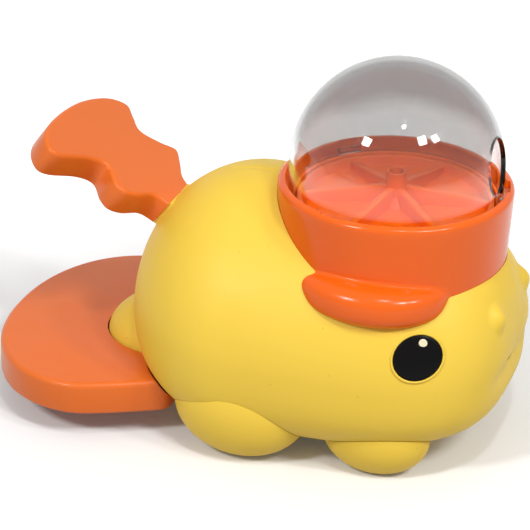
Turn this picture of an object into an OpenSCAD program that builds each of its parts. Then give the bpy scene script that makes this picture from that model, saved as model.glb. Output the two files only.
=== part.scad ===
// Treat dispensing toy: a round-bodied animal with a clear dome on its back.
// Treading on the pedal behind it turns the dish under the dome.
// Millimetres. +X points to the snout, +Y to the animal's left, Z = 0 is the floor.

/* [Body] */
// Reach of the snout ahead of the dome's axis
snout_reach = 56; // [52:0.5:64]
// Reach of the rump behind the dome's axis
rump_reach = 112.5; // [106:0.5:118]
// Distance of the widest section behind the dome's axis
waist_reach = 59; // [54:0.5:64]
// Greatest width of the body
body_w = 128; // [120:1:136]
// Height of the back above the floor
crown_h = 111; // [107:0.5:113]
// Height of the belly above the floor
belly_h = 7; // [5:0.5:9]
// Height of the widest line
girth_h = 47; // [44:0.5:50]
// Wall of the two body shells
shell_t = 2.4; // [1.8:0.1:3]
// Gap between fixed pieces that fit into each other
fit_gap = 0.15; // [0.05:0.05:0.3]

/* [Cap ring and dome] */
// Outer radius of the ring at its rim
cap_r = 49.5; // [48:0.5:51]
// How much narrower the ring is at its foot
cap_taper = 2.2; // [1:0.1:3]
// Height of the ring's rim
rim_z = 116; // [114:0.5:120]
// Wall of the ring
cap_t = 3.5; // [3:0.1:4.5]
// Radius of the dome
dome_r = 45; // [44:0.5:45.5]
// Wall of the dome
dome_t = 2; // [1.5:0.1:3]
// Height of the dome's straight neck
neck_h = 13; // [10:0.5:16]
// Depth of the dome's seat below the rim
seat_depth = 6; // [5:0.5:8]
// Diameter of the outlet hole
outlet_d = 24; // [20:0.5:26]
// Height of the outlet hole above the dome's seat
outlet_rise = 18.5; // [17:0.5:21]
// Depth of the bowl below the dome's seat
bowl_depth = 8; // [7:0.5:10]
// Angle that each ear lobe takes up round the ring
lobe_angle = 84; // [60:1:90]
// Thickness of each ear lobe
lobe_h = 18; // [14:0.5:20]
// How far each ear lobe stands out from the ring
lobe_out = 11; // [8:0.5:13]

/* [Turntable and drive] */
// Gap between the turntable and the bowl's wall
table_gap = 0.7; // [0.4:0.1:1.2]
// Number of radial arms
arm_count = 6; // [4:1:8]
// Thickness of an arm
arm_t = 3; // [2:0.2:4]
// Height of the hub post above the dome's seat
hub_rise = 10; // [8:0.5:12]
// Diameter of the hub post
hub_d = 8.7; // [8.4:0.1:10]
// Diameter of the rotor shaft
shaft_d = 5; // [4:0.5:5]
// Radial running clearance of shaft and pivot
run_gap = 0.06; // [0.03:0.01:0.1]
// Tooth module of rack and pinion
gear_m = 1; // [1:0.05:1.1]
// Number of pinion teeth
pinion_teeth = 12; // [12:1:13]
// Height of the deck's top face
deck_z = 69; // [67:0.5:71]
// Thickness of the deck
deck_t = 3; // [2.4:0.2:4]
// Height of the rack and the pinion
rack_h = 8; // [7:0.2:9]

/* [Pedal] */
// Reach of the pedal behind the dome's axis
pedal_reach = 173.5; // [168:0.5:180]
// Width of the pedal
pedal_w = 131; // [120:1:140]
// Length of the pedal's rounded end
pedal_round = 50; // [44:1:56]
// Height of the pedal's top face
pedal_top = 27.5; // [26.5:0.5:28.5]
// Thickness of the pedal
pedal_h = 14.5; // [13:0.5:15]
// Wall of the pedal
pedal_t = 2.4; // [2:0.1:3]
// Gap between the pedal and the rump
pedal_gap = 1.2; // [0.8:0.1:3]
// Distance of the pedal's pivot behind the dome's axis
pivot_reach = 75; // [73:0.5:77]
// Height of the pedal's pivot
pivot_z = 22; // [21:0.5:23]
// Diameter of the pivot pin
pin_d = 5; // [4:0.5:5.5]
// Travel of the pedal in degrees
pedal_throw = 7; // [4:0.5:7]

/* [Tail, feet and face] */
// Length of the tail outside the rump
tail_l = 59.5; // [50:0.5:70]
// Thickness of the tail
tail_t = 12.9; // [10:0.1:15]
// Angle of the tail above level
tail_rise = 36; // [30:1:42]
// Thickness of the foot pads
pad_t = 1.2; // [0.8:0.1:2]
// Length of an eye
eye_l = 21; // [17:0.5:24]
// Height of an eye
eye_h = 18.5; // [15:0.5:21]

/* [Hidden] */
$fn = 72;

yellow = [0.93, 0.78, 0.28];
orange = [0.93, 0.42, 0.14];
satin_orange = [0.92, 0.47, 0.22];
steel = [0.72, 0.73, 0.75];
ivory = [0.88, 0.87, 0.82];
rubber = [0.16, 0.16, 0.17];

// Overrun of cutters past a face, size of blocks that cut away a side, close fit of pressed pieces
over = 1;
block = 200;
press_gap = 0.03;

// The dome's axis, placed so that snout and pedal reach equally far from the origin
cap_x = (pedal_reach - snout_reach) / 2;

// Body form: powers of the rounded sections, and heights of the two ends
rump_power = 1.9;
snout_power = 3.25;
back_power = 1.85;
belly_power = 3.1;
rump_tip_h = girth_h + 3;
snout_tip_h = girth_h - 1;
waist_x = cap_x - waist_reach;
rump_l = rump_reach - waist_reach;
snout_l = snout_reach + waist_reach;
body_stations = 30;
body_sides = 16;

// Stack of heights on the dome's axis
seat_z = rim_z - seat_depth;
floor_z = seat_z - bowl_depth;
floor_t = 3;
cap_in = cap_r - cap_t;
cap_foot_r = cap_r - cap_taper;
bowl_r = cap_in - 4;
rim_edge = 2.6;
rim_bevel = 0.6;
seat_gap = 0.1;
dome_z = seat_z + neck_h;
outlet_z = seat_z + outlet_rise;
bush_r = 4.5;
bush_h = 12;
hub_z = seat_z + hub_rise;
table_r = bowl_r - table_gap;
table_t = 2.5;
table_z = floor_z + 1;
shaft_r = shaft_d / 2;
shaft_top = seat_z + 2;
web_z = shaft_top + 1.5;
tip_screw_r = 1.1;
tip_screw_l = 9;
tip_head_r = 2.6;
tip_head_h = 1.8;
deck_low = deck_z - deck_t;
bearing_h = 10;
bearing_r = 6.5;
shaft_low = deck_z - bearing_h + seat_gap;

// Bayonet tabs of the dome and their notches in the ring
tab_count = 3;
tab_from = -107;
tab_angle = 12;
tab_h = 2.5;
tab_out = 2.2;
tab_gap = 0.4;
tab_spare = 1;
lock_angle = 26;
notch_r = dome_r + tab_out + tab_gap;

// Ear lobes: angle of their middle, distance of their top below the rim, depth set into the wall,
// and how full their section is (1 is a plain oval)
lobe_middle = 85;
lobe_drop = 25.5;
lobe_sink = 2;
lobe_fullness = 0.78;

// Rack and pinion
pitch_r = gear_m * pinion_teeth / 2;
tooth_pitch = PI * gear_m;
addendum = gear_m;
dedendum = 1.25 * gear_m;
backlash = 0.12;
pressure = 20;
rack_low = deck_z + seat_gap;
rack_back = pitch_r + 7;
rack_tongue_t = 2.5;
drive_pin_r = 2;
drive_spare = 0.3;
drive_z = rack_low + rack_h / 2 + drive_spare;
drive_gap = 0.16;
arm_r = drive_z - pivot_z;
rack_travel = arm_r * pedal_throw * PI / 180;
rack_teeth = 2 * ceil(rack_travel / tooth_pitch) + 5;
drive_drop = arm_r * (1 - cos(pedal_throw));
rail_t = 2.6;
gate_l = 9;
slide_gap = 0.3;

// Pedal and lever
pivot_x = cap_x - pivot_reach;
pedal_rear = cap_x - pedal_reach;
pedal_low = pedal_top - pedal_h;
pedal_front = 8;
pedal_narrow = 0.62;
pedal_ease = 15;
lever_w = 22;
lever_low = pedal_low + 2.2;
lever_t = 6;
lever_top = lever_low + lever_t;
hub_w = 26;
lever_hub_r = 7;
post_w = 5;
post_l = 12;
post_rise = 6;
post_gap = 0.4;
pin_l = hub_w + 2 * post_gap + 2 * post_w;
spring_x = pivot_x + 30;
spring_arm_w = 12;
spring_low = pivot_z + 2;
spring_high = spring_low + 26;
spring_r = 5;
spring_wire = 1.2;
spring_turns = 7;
spigot_h = 4;
lever_rear = pedal_rear + 18;
stop_arm = 82.5;
stop_x = pivot_x - stop_arm;
stop_y = 24;
stop_r = 5;
floor_gap = 0.9;
stop_swing = (pivot_x - stop_x + stop_r) * sin(pedal_throw);
stop_low = pivot_z - (pivot_z - floor_gap - stop_swing) / cos(pedal_throw);
stop_h = pedal_low - stop_low;

// Slot of the shells that the lever swings in
slot_l = 41;
slot_front = pivot_x - 4;
slot_side = 1.5;
slot_spare = 1.2;
slot_low = lever_low - (pivot_x - slot_front + slot_l) * sin(pedal_throw) - slot_spare;
slot_top = lever_top + 2;

// Fasteners
screw_d = 3;
screw_head_d = 6;
screw_head_h = 2.2;
screw_drive_d = 2.6;
screw_drive_h = 1;
screw_bite = 10;
pedal_bite = 4;
hole_spare = 2;
screw_hole = screw_d / 2 + fit_gap;
boss_r = 4.2;
body_screw_reach = 14;
body_screw_bite = 11;
body_screw_at = [
    [waist_x - 41, girth_h + 15],
    [waist_x + 1, crown_h - 13],
    [cap_x + 43, girth_h - 17],
    [cap_x - 12, belly_h + 13]
];
deck_post_at = [26, 30];
cap_screw_r = cap_foot_r - cap_t - 2.2;
cap_screw_angles = [0, 110, -110];
cap_boss_r = 3.6;
cap_boss_h = 16;

// Low end of the well in the back that takes the ring
well_low = deck_z + rack_h;

// Tail: its neck lies on the rump, its outline runs along the tail and across it
neck_x = waist_x - 0.70 * rump_l;
neck_z = body_top(neck_x) + 0.5;
tongue_w = 15;
tongue_t = 7;
tongue_in = 9;
barb_w = 21;
barb_t = 11;
barb_l = 3;
tail_unit = tail_l / 59.5;
tail_points = [
    [0, -11.5], [7, -14], [12.5, -23], [18, -27.5], [23.5, -26], [30, -20.5], [37, -25], [46, -38],
    [52, -40.5], [58.5, -33], [59.5, -17], [56.5, 4], [50, 21], [42.5, 27.5], [37, 23.5], [31, 19],
    [22, 22.5], [14, 27], [8.5, 21], [4, 14], [0, 11.5]
];
tail_steps = 4;
collar_top = 0.2;
tail_base = collar_top + 2 * fit_gap;
collar_in = 7;
collar_edge = 3;

// Feet: [distance ahead of the dome's axis, distance from the middle, height] and half sizes
rear_foot_at = [-51, 45, 18];
rear_foot_size = [29, 17, 18];
front_foot_at = [9, 39.5, 13.5];
front_foot_size = [25, 14, 13.5];
peg_r = 4;
peg_top = belly_h + 18;
foot_pad_r = 5;

// Eyes: where they sit on the flank
eye_x = cap_x + 27;
eye_z = girth_h + 15.6;
eye_tilt = 28;
eye_round = 56;
eye_crown = 0.5;
eye_depth = 1.6;
eye_back = 2.4;
eye_bed = 2;
eye_rise = 3;

// Rear nub over the pedal and the nostrils
nub_at = [cap_x - rump_reach + 13.75, 0, pivot_z + 4];
nub_size = [29, 27.5, 17];
nub_gap = 1.6;
nub_front = 4;
nub_rear = nub_at[0] - nub_size[0] - pedal_gap;
pedal_screw_at = [
    [lever_rear + boss_r + 1, 0],
    [nub_rear - boss_r - 1.5, lever_w / 2 - boss_r],
    [nub_rear - boss_r - 1.5, boss_r - lever_w / 2]
];
nostril_x = cap_x + snout_reach - 4.6;
nostril_y = 20;
nostril_z = girth_h + 24;
nostril_size = [4, 5.5, 5.5];
mouth_r = 22;
mouth_z = girth_h + 18;
mouth_half = 50;
mouth_groove = 1.4;

// One point of the body's skin: a runs from rump (0) to snout (180), b from belly (-90) to back (90)
function skin_point(a, b, grow) =
    let (
        rear = cos(a) > 0,
        reach = (rear ? rump_l : snout_l) + grow,
        power = rear ? rump_power : snout_power,
        share = abs(cos(a)),
        size = pow(max(0, 1 - pow(share, power)), 1 / power),
        low = sin(b) < 0,
        curve = 2 / (low ? belly_power : back_power),
        middle = girth_h + ((rear ? rump_tip_h : snout_tip_h) - girth_h) * pow(share, 1.5),
        tall = (low ? girth_h - belly_h : crown_h - girth_h) + grow
    )
    [
        waist_x - reach * cos(a),
        (body_w / 2 + grow) * size * pow(max(0, cos(b)), curve),
        middle + tall * size * sign(sin(b)) * pow(abs(sin(b)), curve)
    ];

// Share of the full section at a station along the body
function body_size(x) =
    let (
        rear = x < waist_x,
        share = min(1, abs(x - waist_x) / (rear ? rump_l : snout_l)),
        power = rear ? rump_power : snout_power
    )
    pow(max(0, 1 - pow(share, power)), 1 / power);

function body_middle(x) =
    let (
        rear = x < waist_x,
        share = min(1, abs(x - waist_x) / (rear ? rump_l : snout_l))
    )
    girth_h + ((rear ? rump_tip_h : snout_tip_h) - girth_h) * pow(share, 1.5);

function body_top(x) = body_middle(x) + (crown_h - girth_h) * body_size(x);

// Half width of the body at a place on its flank
function body_side(x, z) =
    let (
        size = body_size(x),
        up = z - body_middle(x),
        power = up > 0 ? back_power : belly_power,
        tall = (up > 0 ? crown_h - girth_h : girth_h - belly_h) * size
    )
    body_w / 2 * size * pow(max(0, 1 - pow(min(1, abs(up) / tall), power)), 1 / power);

// Outward direction of the left flank
function flank_normal(x, z) =
    let (
        step = 0.5,
        slope_x = (body_side(x + step, z) - body_side(x - step, z)) / (2 * step),
        slope_z = (body_side(x, z + step) - body_side(x, z - step)) / (2 * step),
        n = [-slope_x, 1, -slope_z]
    )
    n / norm(n);

// Grid of one half of the skin, without its two end points
function skin_grid(grow) = [
    for (i = [1:body_stations - 1])
        for (j = [0:body_sides])
            skin_point(180 * i / body_stations, -90 + 180 * j / body_sides, grow)
];

function skin_ends(grow) = [skin_point(0, 0, grow), skin_point(180, 0, grow)];

skin_count = (body_stations - 1) * (body_sides + 1) + 2;

function grid_at(i, j) =
    i == 0 ? skin_count - 2 : i == body_stations ? skin_count - 1 : (i - 1) * (body_sides + 1) + j;

// Triangles of one half of the skin, seen from outside
function skin_faces() = [
    for (i = [0:body_stations - 1])
        for (j = [0:body_sides - 1])
            let (
                a = grid_at(i, j),
                b = grid_at(i + 1, j),
                c = grid_at(i + 1, j + 1),
                d = grid_at(i, j + 1)
            )
            each [if (a != d) [a, c, d], if (b != c) [a, b, c]]
];

// Edge of the half skin in the middle plane: rump, back, snout, belly
skin_edge = [
    for (i = [0:body_stations]) grid_at(i, body_sides),
    for (i = [body_stations - 1:-1:1]) grid_at(i, 0)
];

function turned(face) = [for (k = [len(face) - 1:-1:0]) face[k]];

// Left half of the body as a solid
module body_half(grow) {
    polyhedron(concat(skin_grid(grow), skin_ends(grow)), concat(skin_faces(), [skin_edge]));
}

// Whole body as a solid, for cutting what lies against it
module body_solid(grow) {
    body_half(grow);
    mirror([0, 1, 0]) body_half(grow);
}

// Left half of the body's wall
module body_wall() {
    edge = len(skin_edge);
    inner = [for (f = skin_faces()) [for (k = turned(f)) k + skin_count]];
    rim = [
        for (k = [0:edge - 1])
            let (
                a = skin_edge[k],
                b = skin_edge[(k + 1) % edge]
            )
            each [[a, b, b + skin_count], [a, b + skin_count, a + skin_count]]
    ];
    points = concat(skin_grid(0), skin_ends(0), skin_grid(-shell_t), skin_ends(-shell_t));
    polyhedron(points, concat(skin_faces(), inner, rim));
}

// Rounded lump with three half sizes
module lump(size, rings = 10, sides = 22) {
    points = [
        for (i = [1:rings - 1])
            for (j = [0:sides - 1])
                let (
                    a = 180 * i / rings - 90,
                    b = 360 * j / sides
                )
                [size[0] * cos(a) * cos(b), size[1] * cos(a) * sin(b), size[2] * sin(a)]
    ];
    low = len(points);
    bands = [
        for (i = [0:rings - 3])
            for (j = [0:sides - 1])
                let (
                    a = i * sides + j,
                    b = i * sides + (j + 1) % sides
                )
                each [[a, a + sides, b + sides], [a, b + sides, b]]
    ];
    caps = [
        for (j = [0:sides - 1])
            let (k = (j + 1) % sides)
            each [[low, j, k], [low + 1, (rings - 2) * sides + k, (rings - 2) * sides + j]]
    ];
    polyhedron(concat(points, [[0, 0, -size[2]], [0, 0, size[2]]]), concat(bands, caps));
}

// Loft through closed rings of points that all have the same count
module loft(rings) {
    n = len(rings[0]);
    top = len(rings) - 1;
    sides = [
        for (i = [0:top - 1])
            for (j = [0:n - 1])
                let (
                    a = i * n + j,
                    b = i * n + (j + 1) % n
                )
                each [[a, a + n, b + n], [a, b + n, b]]
    ];
    floor_face = [for (j = [0:n - 1]) j];
    top_face = [for (j = [n - 1:-1:0]) top * n + j];
    polyhedron([for (r = rings) each r], concat(sides, [floor_face, top_face]));
}

// Outline drawn in by a distance; the outline runs counter-clockwise
function drawn_in(outline, distance) =
    let (n = len(outline))
    [
        for (i = [0:n - 1])
            let (
                d = outline[(i + 1) % n] - outline[(i + n - 1) % n],
                inward = [-d[1], d[0]] / norm(d)
            )
            outline[i] + distance * inward
    ];

function at_height(outline, z) = [for (p = outline) [p[0], p[1], z]];

// Smooth open curve through a few points
function smooth_open(points, steps) =
    let (last = len(points) - 1)
    concat(
        [
            for (i = [0:last - 1])
                let (
                    a = points[max(0, i - 1)],
                    b = points[i],
                    c = points[i + 1],
                    d = points[min(last, i + 2)]
                )
                for (s = [0:steps - 1])
                    let (t = s / steps)
                    0.5 * (2 * b + (c - a) * t + (2 * a - 5 * b + 4 * c - d) * t * t
                        + (3 * b - a - 3 * c + d) * t * t * t)
        ],
        [points[last]]
    );

// Tail outline drawn in by a distance, with its two ends kept on the face of the neck
function tail_ring(outline, distance) =
    let (last = len(outline) - 1)
    [
        for (i = [0:last])
            let (
                d = outline[min(last, i + 1)] - outline[max(0, i - 1)],
                inward = i == 0 ? [0, 1] : i == last ? [0, -1] : [-d[1], d[0]] / norm(d)
            )
            outline[i] + distance * inward
    ];

// Cylinder along Y between two places
module rod_y(x, z, r, from, to) {
    translate([x, from, z]) rotate([-90, 0, 0]) cylinder(r=r, h=to - from);
}

// Turn that carries Z onto a direction
module facing(n) {
    rotate([0, acos(n[2]), atan2(n[1], n[0])]) children();
}

// Half ring of a revolved block, for tabs and notches
module ring_block(r_in, r_out, low, high, from, angle) {
    translate([cap_x, 0, 0])
        rotate([0, 0, from])
            rotate_extrude(angle=angle)
                translate([r_in, low]) square([r_out - r_in, high - low]);
}

// Screw whose head rests at the origin, with its shank along -Z
module screw(length) {
    translate([0, 0, -length]) cylinder(d=screw_d, h=length);
    difference() {
        cylinder(d=screw_head_d, h=screw_head_h);
        translate([0, 0, screw_head_h - screw_drive_h])
            cylinder(d=screw_drive_d, h=screw_drive_h + over, $fn=6);
    }
}

// Half width of the pedal: a rounded end, then a gentle narrowing towards the body
function pedal_half(x) =
    let (
        wide_x = pedal_rear + pedal_round,
        ahead = x - wide_x,
        power = 2.15
    )
    ahead < 0
        ? pedal_w / 2 * pow(max(0, 1 - pow(-ahead / pedal_round, power)), 1 / power)
        : pedal_w / 2 - pedal_narrow * ahead * ahead / (ahead + pedal_ease);

// Outline of the pedal, with its steps closer together at the rounded end
function pedal_outline() =
    let (
        front_x = pivot_x - pedal_front,
        steps = 26,
        stations = [for (i = [1:steps]) pedal_rear + (front_x - pedal_rear) * pow(i / steps, 2)]
    )
    concat(
        [[pedal_rear, 0]],
        [for (x = stations) [x, -pedal_half(x)]],
        [for (i = [steps - 1:-1:0]) [stations[i], pedal_half(stations[i])]]
    );

// Points of one pinion tooth flank, as radius and half angle
function involute_half(r) =
    let (
        base_r = pitch_r * cos(pressure),
        at_pitch = tan(pressure) * 180 / PI - pressure,
        tip = r > base_r ? acos(base_r / r) : 0,
        spread = tan(tip) * 180 / PI - tip
    )
    90 / pinion_teeth - backlash / 2 / pitch_r * 180 / PI + at_pitch - spread;

function pinion_outline() =
    let (
        root = pitch_r - dedendum,
        tip = pitch_r + addendum,
        steps = 4,
        radii = [for (s = [0:steps]) root + (tip - root) * s / steps]
    )
    [
        for (k = [0:pinion_teeth - 1])
            let (middle = 90 + (k + 0.5) * 360 / pinion_teeth)
            each concat(
                [for (r = radii) r * [cos(middle - involute_half(r)), sin(middle - involute_half(r))]],
                [
                    for (s = [steps:-1:0])
                        let (r = radii[s])
                        r * [cos(middle + involute_half(r)), sin(middle + involute_half(r))]
                ]
            )
    ];

// Outline of the rack seen from above; its teeth face the pinion
function rack_outline() =
    let (
        tip_y = pitch_r - addendum,
        root_y = pitch_r + dedendum,
        half_tip = tooth_pitch / 4 - backlash / 2 - addendum * tan(pressure),
        half_root = tooth_pitch / 4 - backlash / 2 + dedendum * tan(pressure),
        last = (rack_teeth - 1) / 2,
        head = (last + 0.75) * tooth_pitch,
        eye_wall = 4,
        tongue_l = 18,
        tail_end = -pivot_reach - drive_pin_r - eye_wall
    )
    concat(
        [[head, rack_back], [tail_end + tongue_l, rack_back], [tail_end + tongue_l, pitch_r + rack_tongue_t]],
        [[tail_end, pitch_r + rack_tongue_t], [tail_end, pitch_r]],
        [[-head - eye_wall, pitch_r], [-head, root_y]],
        [
            for (k = [-last:last])
                each [
                    [k * tooth_pitch - half_root, root_y],
                    [k * tooth_pitch - half_tip, tip_y],
                    [k * tooth_pitch + half_tip, tip_y],
                    [k * tooth_pitch + half_root, root_y]
                ]
        ],
        [[head, root_y]]
    );

// Places of the tail's neck and direction, shared by tail and shells
module at_tail() {
    translate([neck_x, 0, neck_z]) rotate([0, 180 + tail_rise, 0]) children();
}

module tail_tongue(gap) {
    translate([-tongue_in - gap, -tongue_w / 2 - gap, (tail_t - tongue_t) / 2 - gap])
        cube([tongue_in + 2 * over + gap, tongue_w + 2 * gap, tongue_t + 2 * gap]);
    translate([-tongue_in - barb_l - gap, -barb_w / 2 - gap, (tail_t - barb_t) / 2 - gap])
        cube([barb_l + 2 * gap, barb_w + 2 * gap, barb_t + 2 * gap]);
}

// Place of an eye on the left flank
module at_eye() {
    translate([eye_x, body_side(eye_x, eye_z), eye_z])
        facing(flank_normal(eye_x, eye_z))
            rotate([0, 0, 90 - eye_tilt])
                children();
}

module eye_disc(gap, low, high) {
    translate([0, 0, low])
        scale([1, (eye_h + 2 * gap) / (eye_l + 2 * gap), 1])
            cylinder(d=eye_l + 2 * gap, h=high - low);
}

// Upright post on the belly that holds one end of the pivot pin
module pivot_post() {
    translate([pivot_x - post_l / 2, hub_w / 2 + post_gap, belly_h])
        cube([post_l, post_w, pivot_z + post_rise - belly_h]);
}

// Screw pillars across the left half and deck posts on its belly
module body_pillars() {
    for (p = body_screw_at) rod_y(p[0], p[1], boss_r, 0, body_w / 2);
    for (s = [-1, 1])
        translate([cap_x + s * deck_post_at[0], deck_post_at[1], belly_h])
            cylinder(r=boss_r, h=deck_low - belly_h);
    pivot_post();
    at_eye() eye_disc(eye_bed, -eye_depth - eye_back, -shell_t / 4);
}

module foot_peg(at, gap) {
    translate([cap_x + at[0], at[1], 2 * pad_t]) cylinder(r=peg_r + gap, h=peg_top - 2 * pad_t + gap);
}

// Left half of the body; the right half is its mirror image with other screw holes
module shell_half() {
    difference() {
        union() {
            body_wall();
            intersection() {
                body_pillars();
                body_half(-shell_t / 2);
            }
            nub_half();
            tail_collar_half();
            translate([nostril_x, nostril_y, nostril_z]) lump(nostril_size, 6, 12);
        }
        translate([cap_x, 0, well_low])
            cylinder(r1=cap_wall_r(well_low) + fit_gap, r2=cap_wall_r(rim_z) + fit_gap, h=rim_z - well_low);
        translate([slot_front - slot_l, -over, slot_low])
            cube([slot_l, lever_w / 2 + slot_side + over, slot_top - slot_low]);
        at_tail() tail_tongue(fit_gap);
        mouth();
        at_eye() eye_disc(fit_gap, -eye_depth - press_gap, 2 * eye_rise);
        rod_y(pivot_x, pivot_z, pin_d / 2 + run_gap, hub_w / 2 - over, pin_l / 2 + fit_gap);
        for (s = [-1, 1])
            translate([cap_x + s * deck_post_at[0], deck_post_at[1], deck_low - screw_bite - hole_spare])
                cylinder(r=screw_hole, h=screw_bite + hole_spare + over);
        foot_peg(rear_foot_at, fit_gap);
        foot_peg(front_foot_at, fit_gap);
    }
}

// Groove of the mouth across the snout
module mouth() {
    translate([cap_x + snout_reach, 0, mouth_z])
        rotate([0, 90, 0])
            rotate([0, 0, -mouth_half])
                rotate_extrude(angle=2 * mouth_half)
                    translate([mouth_r, 0]) circle(r=mouth_groove, $fn=24);
}

// Outer radius of the ring's tapered wall at a height
function cap_wall_r(z) = cap_foot_r + cap_taper * (z - deck_z) / (rim_z - rim_edge - deck_z);

module nub_half() {
    difference() {
        intersection() {
            translate(nub_at) lump(nub_size, 10, 20);
            translate([nub_at[0] + nub_front - block, 0, lever_top + nub_gap]) cube(block);
        }
        body_half(-shell_t);
    }
}

module tail_collar_half() {
    difference() {
        intersection() {
            at_tail()
                translate([-collar_in, -tongue_w / 2 - collar_edge, (tail_t - tongue_t) / 2 - collar_edge])
                    cube([collar_in + collar_top, tongue_w + 2 * collar_edge, tongue_t + 2 * collar_edge]);
            translate([cap_x - block, 0, 0]) cube(block);
        }
        body_half(-shell_t);
    }
}

module body_left_shell() {
    color(yellow)
        difference() {
            shell_half();
            for (p = body_screw_at) {
                rod_y(p[0], p[1], screw_hole, -over, body_screw_reach + over);
                rod_y(p[0], p[1], screw_head_d / 2 + 2 * fit_gap, body_screw_reach, body_w / 2 + over);
            }
        }
}

module body_right_shell() {
    color(yellow)
        difference() {
            mirror([0, 1, 0]) shell_half();
            for (p = body_screw_at) rod_y(p[0], p[1], screw_hole, -body_screw_bite - over, over);
        }
}

// One ear lobe on the left, bent round the ring and cut where the body is
module ear_lobe() {
    steps = 14;
    sides = 16;
    middle_z = rim_z - lobe_drop - lobe_h / 2;
    rings = [
        for (i = [0:steps])
            let (
                along = 180 * i / steps,
                turn = lobe_middle + lobe_angle / 2 * cos(along),
                size = max(0.04, pow(sin(along), 0.8))
            )
            [
                for (j = [0:sides - 1])
                    let (
                        b = 360 * j / sides,
                        out = sign(cos(b)) * pow(abs(cos(b)), lobe_fullness),
                        up = sign(sin(b)) * pow(abs(sin(b)), lobe_fullness),
                        r = cap_wall_r(middle_z) - lobe_sink + (lobe_out + lobe_sink) * size * out
                    )
                    [cap_x + r * cos(turn), r * sin(turn), middle_z + lobe_h / 2 * size * up]
            ]
    ];
    difference() {
        loft(rings);
        union() {
            body_half(2 * fit_gap);
            translate([cap_x, 0, deck_z - lobe_h]) cylinder(r=cap_foot_r - cap_t / 2, h=rim_z);
        }
    }
}

module cap_ring() {
    color(orange)
        difference() {
            union() {
                translate([cap_x, 0, 0]) rotate_extrude() polygon(cap_profile());
                ear_lobe();
                mirror([0, 1, 0]) ear_lobe();
                for (a = cap_screw_angles)
                    translate([cap_x + cap_screw_r * cos(a), cap_screw_r * sin(a), deck_z])
                        cylinder(r=cap_boss_r, h=cap_boss_h);
            }
            for (a = cap_screw_angles)
                translate([cap_x + cap_screw_r * cos(a), cap_screw_r * sin(a), deck_z - over])
                    cylinder(r=screw_hole, h=screw_bite + hole_spare + over);
            for (k = [0:tab_count - 1]) {
                start = tab_from + k * 360 / tab_count - tab_angle / 2 - tab_spare;
                ring_block(cap_in - over, notch_r, seat_z, rim_z + over, start, tab_angle + 2 * tab_spare);
                ring_block(cap_in - over, notch_r, seat_z, seat_z + tab_h + tab_gap, start, lock_angle);
            }
            translate([cap_x - cap_r, pitch_r - rail_t - over, deck_z - over])
                cube([gate_l, rack_back - pitch_r + 2 * rail_t + 2 * over, rack_h + 2 * over - tab_gap]);
        }
}

// Wall of the ring from its inner bore round the bowl, the seat and the rim to the skirt
function cap_profile() =
    let (
        skirt_in = cap_foot_r - cap_t,
        arc = [
            for (a = [90:-15:0])
                [cap_r - rim_edge + rim_edge * cos(a), rim_z - rim_edge + rim_edge * sin(a)]
        ]
    )
    concat(
        [[bush_r + fit_gap, floor_z], [bowl_r, floor_z], [bowl_r, seat_z], [cap_in, seat_z]],
        [[cap_in, rim_z - rim_bevel], [cap_in + rim_bevel, rim_z]],
        arc,
        [[cap_foot_r, deck_z], [skirt_in, deck_z], [skirt_in, floor_z - floor_t]],
        [[2 * bush_r, floor_z - floor_t], [2 * bush_r, floor_z - bush_h]],
        [[bush_r + fit_gap, floor_z - bush_h]]
    );

module dome() {
    color([0.85, 0.92, 0.95, 0.35])
        difference() {
            union() {
                translate([cap_x, 0, dome_z])
                    intersection() {
                        sphere(r=dome_r);
                        translate([-block / 2, -block / 2, 0]) cube(block);
                    }
                translate([cap_x, 0, seat_z + seat_gap]) cylinder(r=dome_r, h=neck_h - seat_gap);
                for (k = [0:tab_count - 1])
                    ring_block(dome_r - over, dome_r + tab_out, seat_z + seat_gap, seat_z + seat_gap + tab_h,
                        tab_from + k * 360 / tab_count - tab_angle / 2, tab_angle);
            }
            translate([cap_x, 0, dome_z]) sphere(r=dome_r - dome_t);
            translate([cap_x, 0, seat_z - over]) cylinder(r=dome_r - dome_t, h=neck_h + over);
            translate([cap_x, 0, outlet_z]) rotate([0, 90, 0]) cylinder(d=outlet_d, h=dome_r + over);
        }
}

// Dish with a rim, a hub post with a hollow top, and radial arms
module turntable() {
    hub_r = hub_d / 2;
    hub_wall = 1.3;
    fillet_w = 3;
    fillet_h = 4;
    rim_w = 2;
    rim_slope = 1.5;
    rim_top = seat_z - 4 * seat_gap;
    arm_turn = 15;
    arm_high = seat_z + 3.5;
    arm_low = seat_z - 1.5;
    color(orange)
        translate([cap_x, 0, 0])
            difference() {
                union() {
                    rotate_extrude()
                        polygon([
                            [0, floor_z + seat_gap], [hub_r + rim_w, floor_z + seat_gap],
                            [hub_r + rim_w, table_z], [table_r, table_z], [table_r, rim_top],
                            [table_r - rim_w, rim_top], [table_r - rim_w - rim_slope, table_z + table_t],
                            [hub_r + fillet_w, table_z + table_t], [hub_r, table_z + table_t + fillet_h],
                            [hub_r, hub_z], [0, hub_z]
                        ]);
                    for (k = [0:arm_count - 1])
                        rotate([0, 0, arm_turn + 360 * k / arm_count])
                            rotate([90, 0, 0])
                                translate([0, 0, -arm_t / 2])
                                    linear_extrude(arm_t)
                                        polygon([
                                            [0, table_z + over], [table_r - over, table_z + over],
                                            [table_r - over, arm_low], [hub_r + rim_w, arm_high],
                                            [0, arm_high + over]
                                        ]);
                }
                translate([0, 0, floor_z]) cylinder(r=shaft_r + press_gap, h=shaft_top - floor_z + seat_gap);
                translate([0, 0, web_z]) cylinder(r=hub_r - hub_wall, h=hub_z - web_z + over);
                translate([0, 0, floor_z]) cylinder(r=tip_screw_r + fit_gap, h=web_z - floor_z + over);
            }
}

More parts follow.
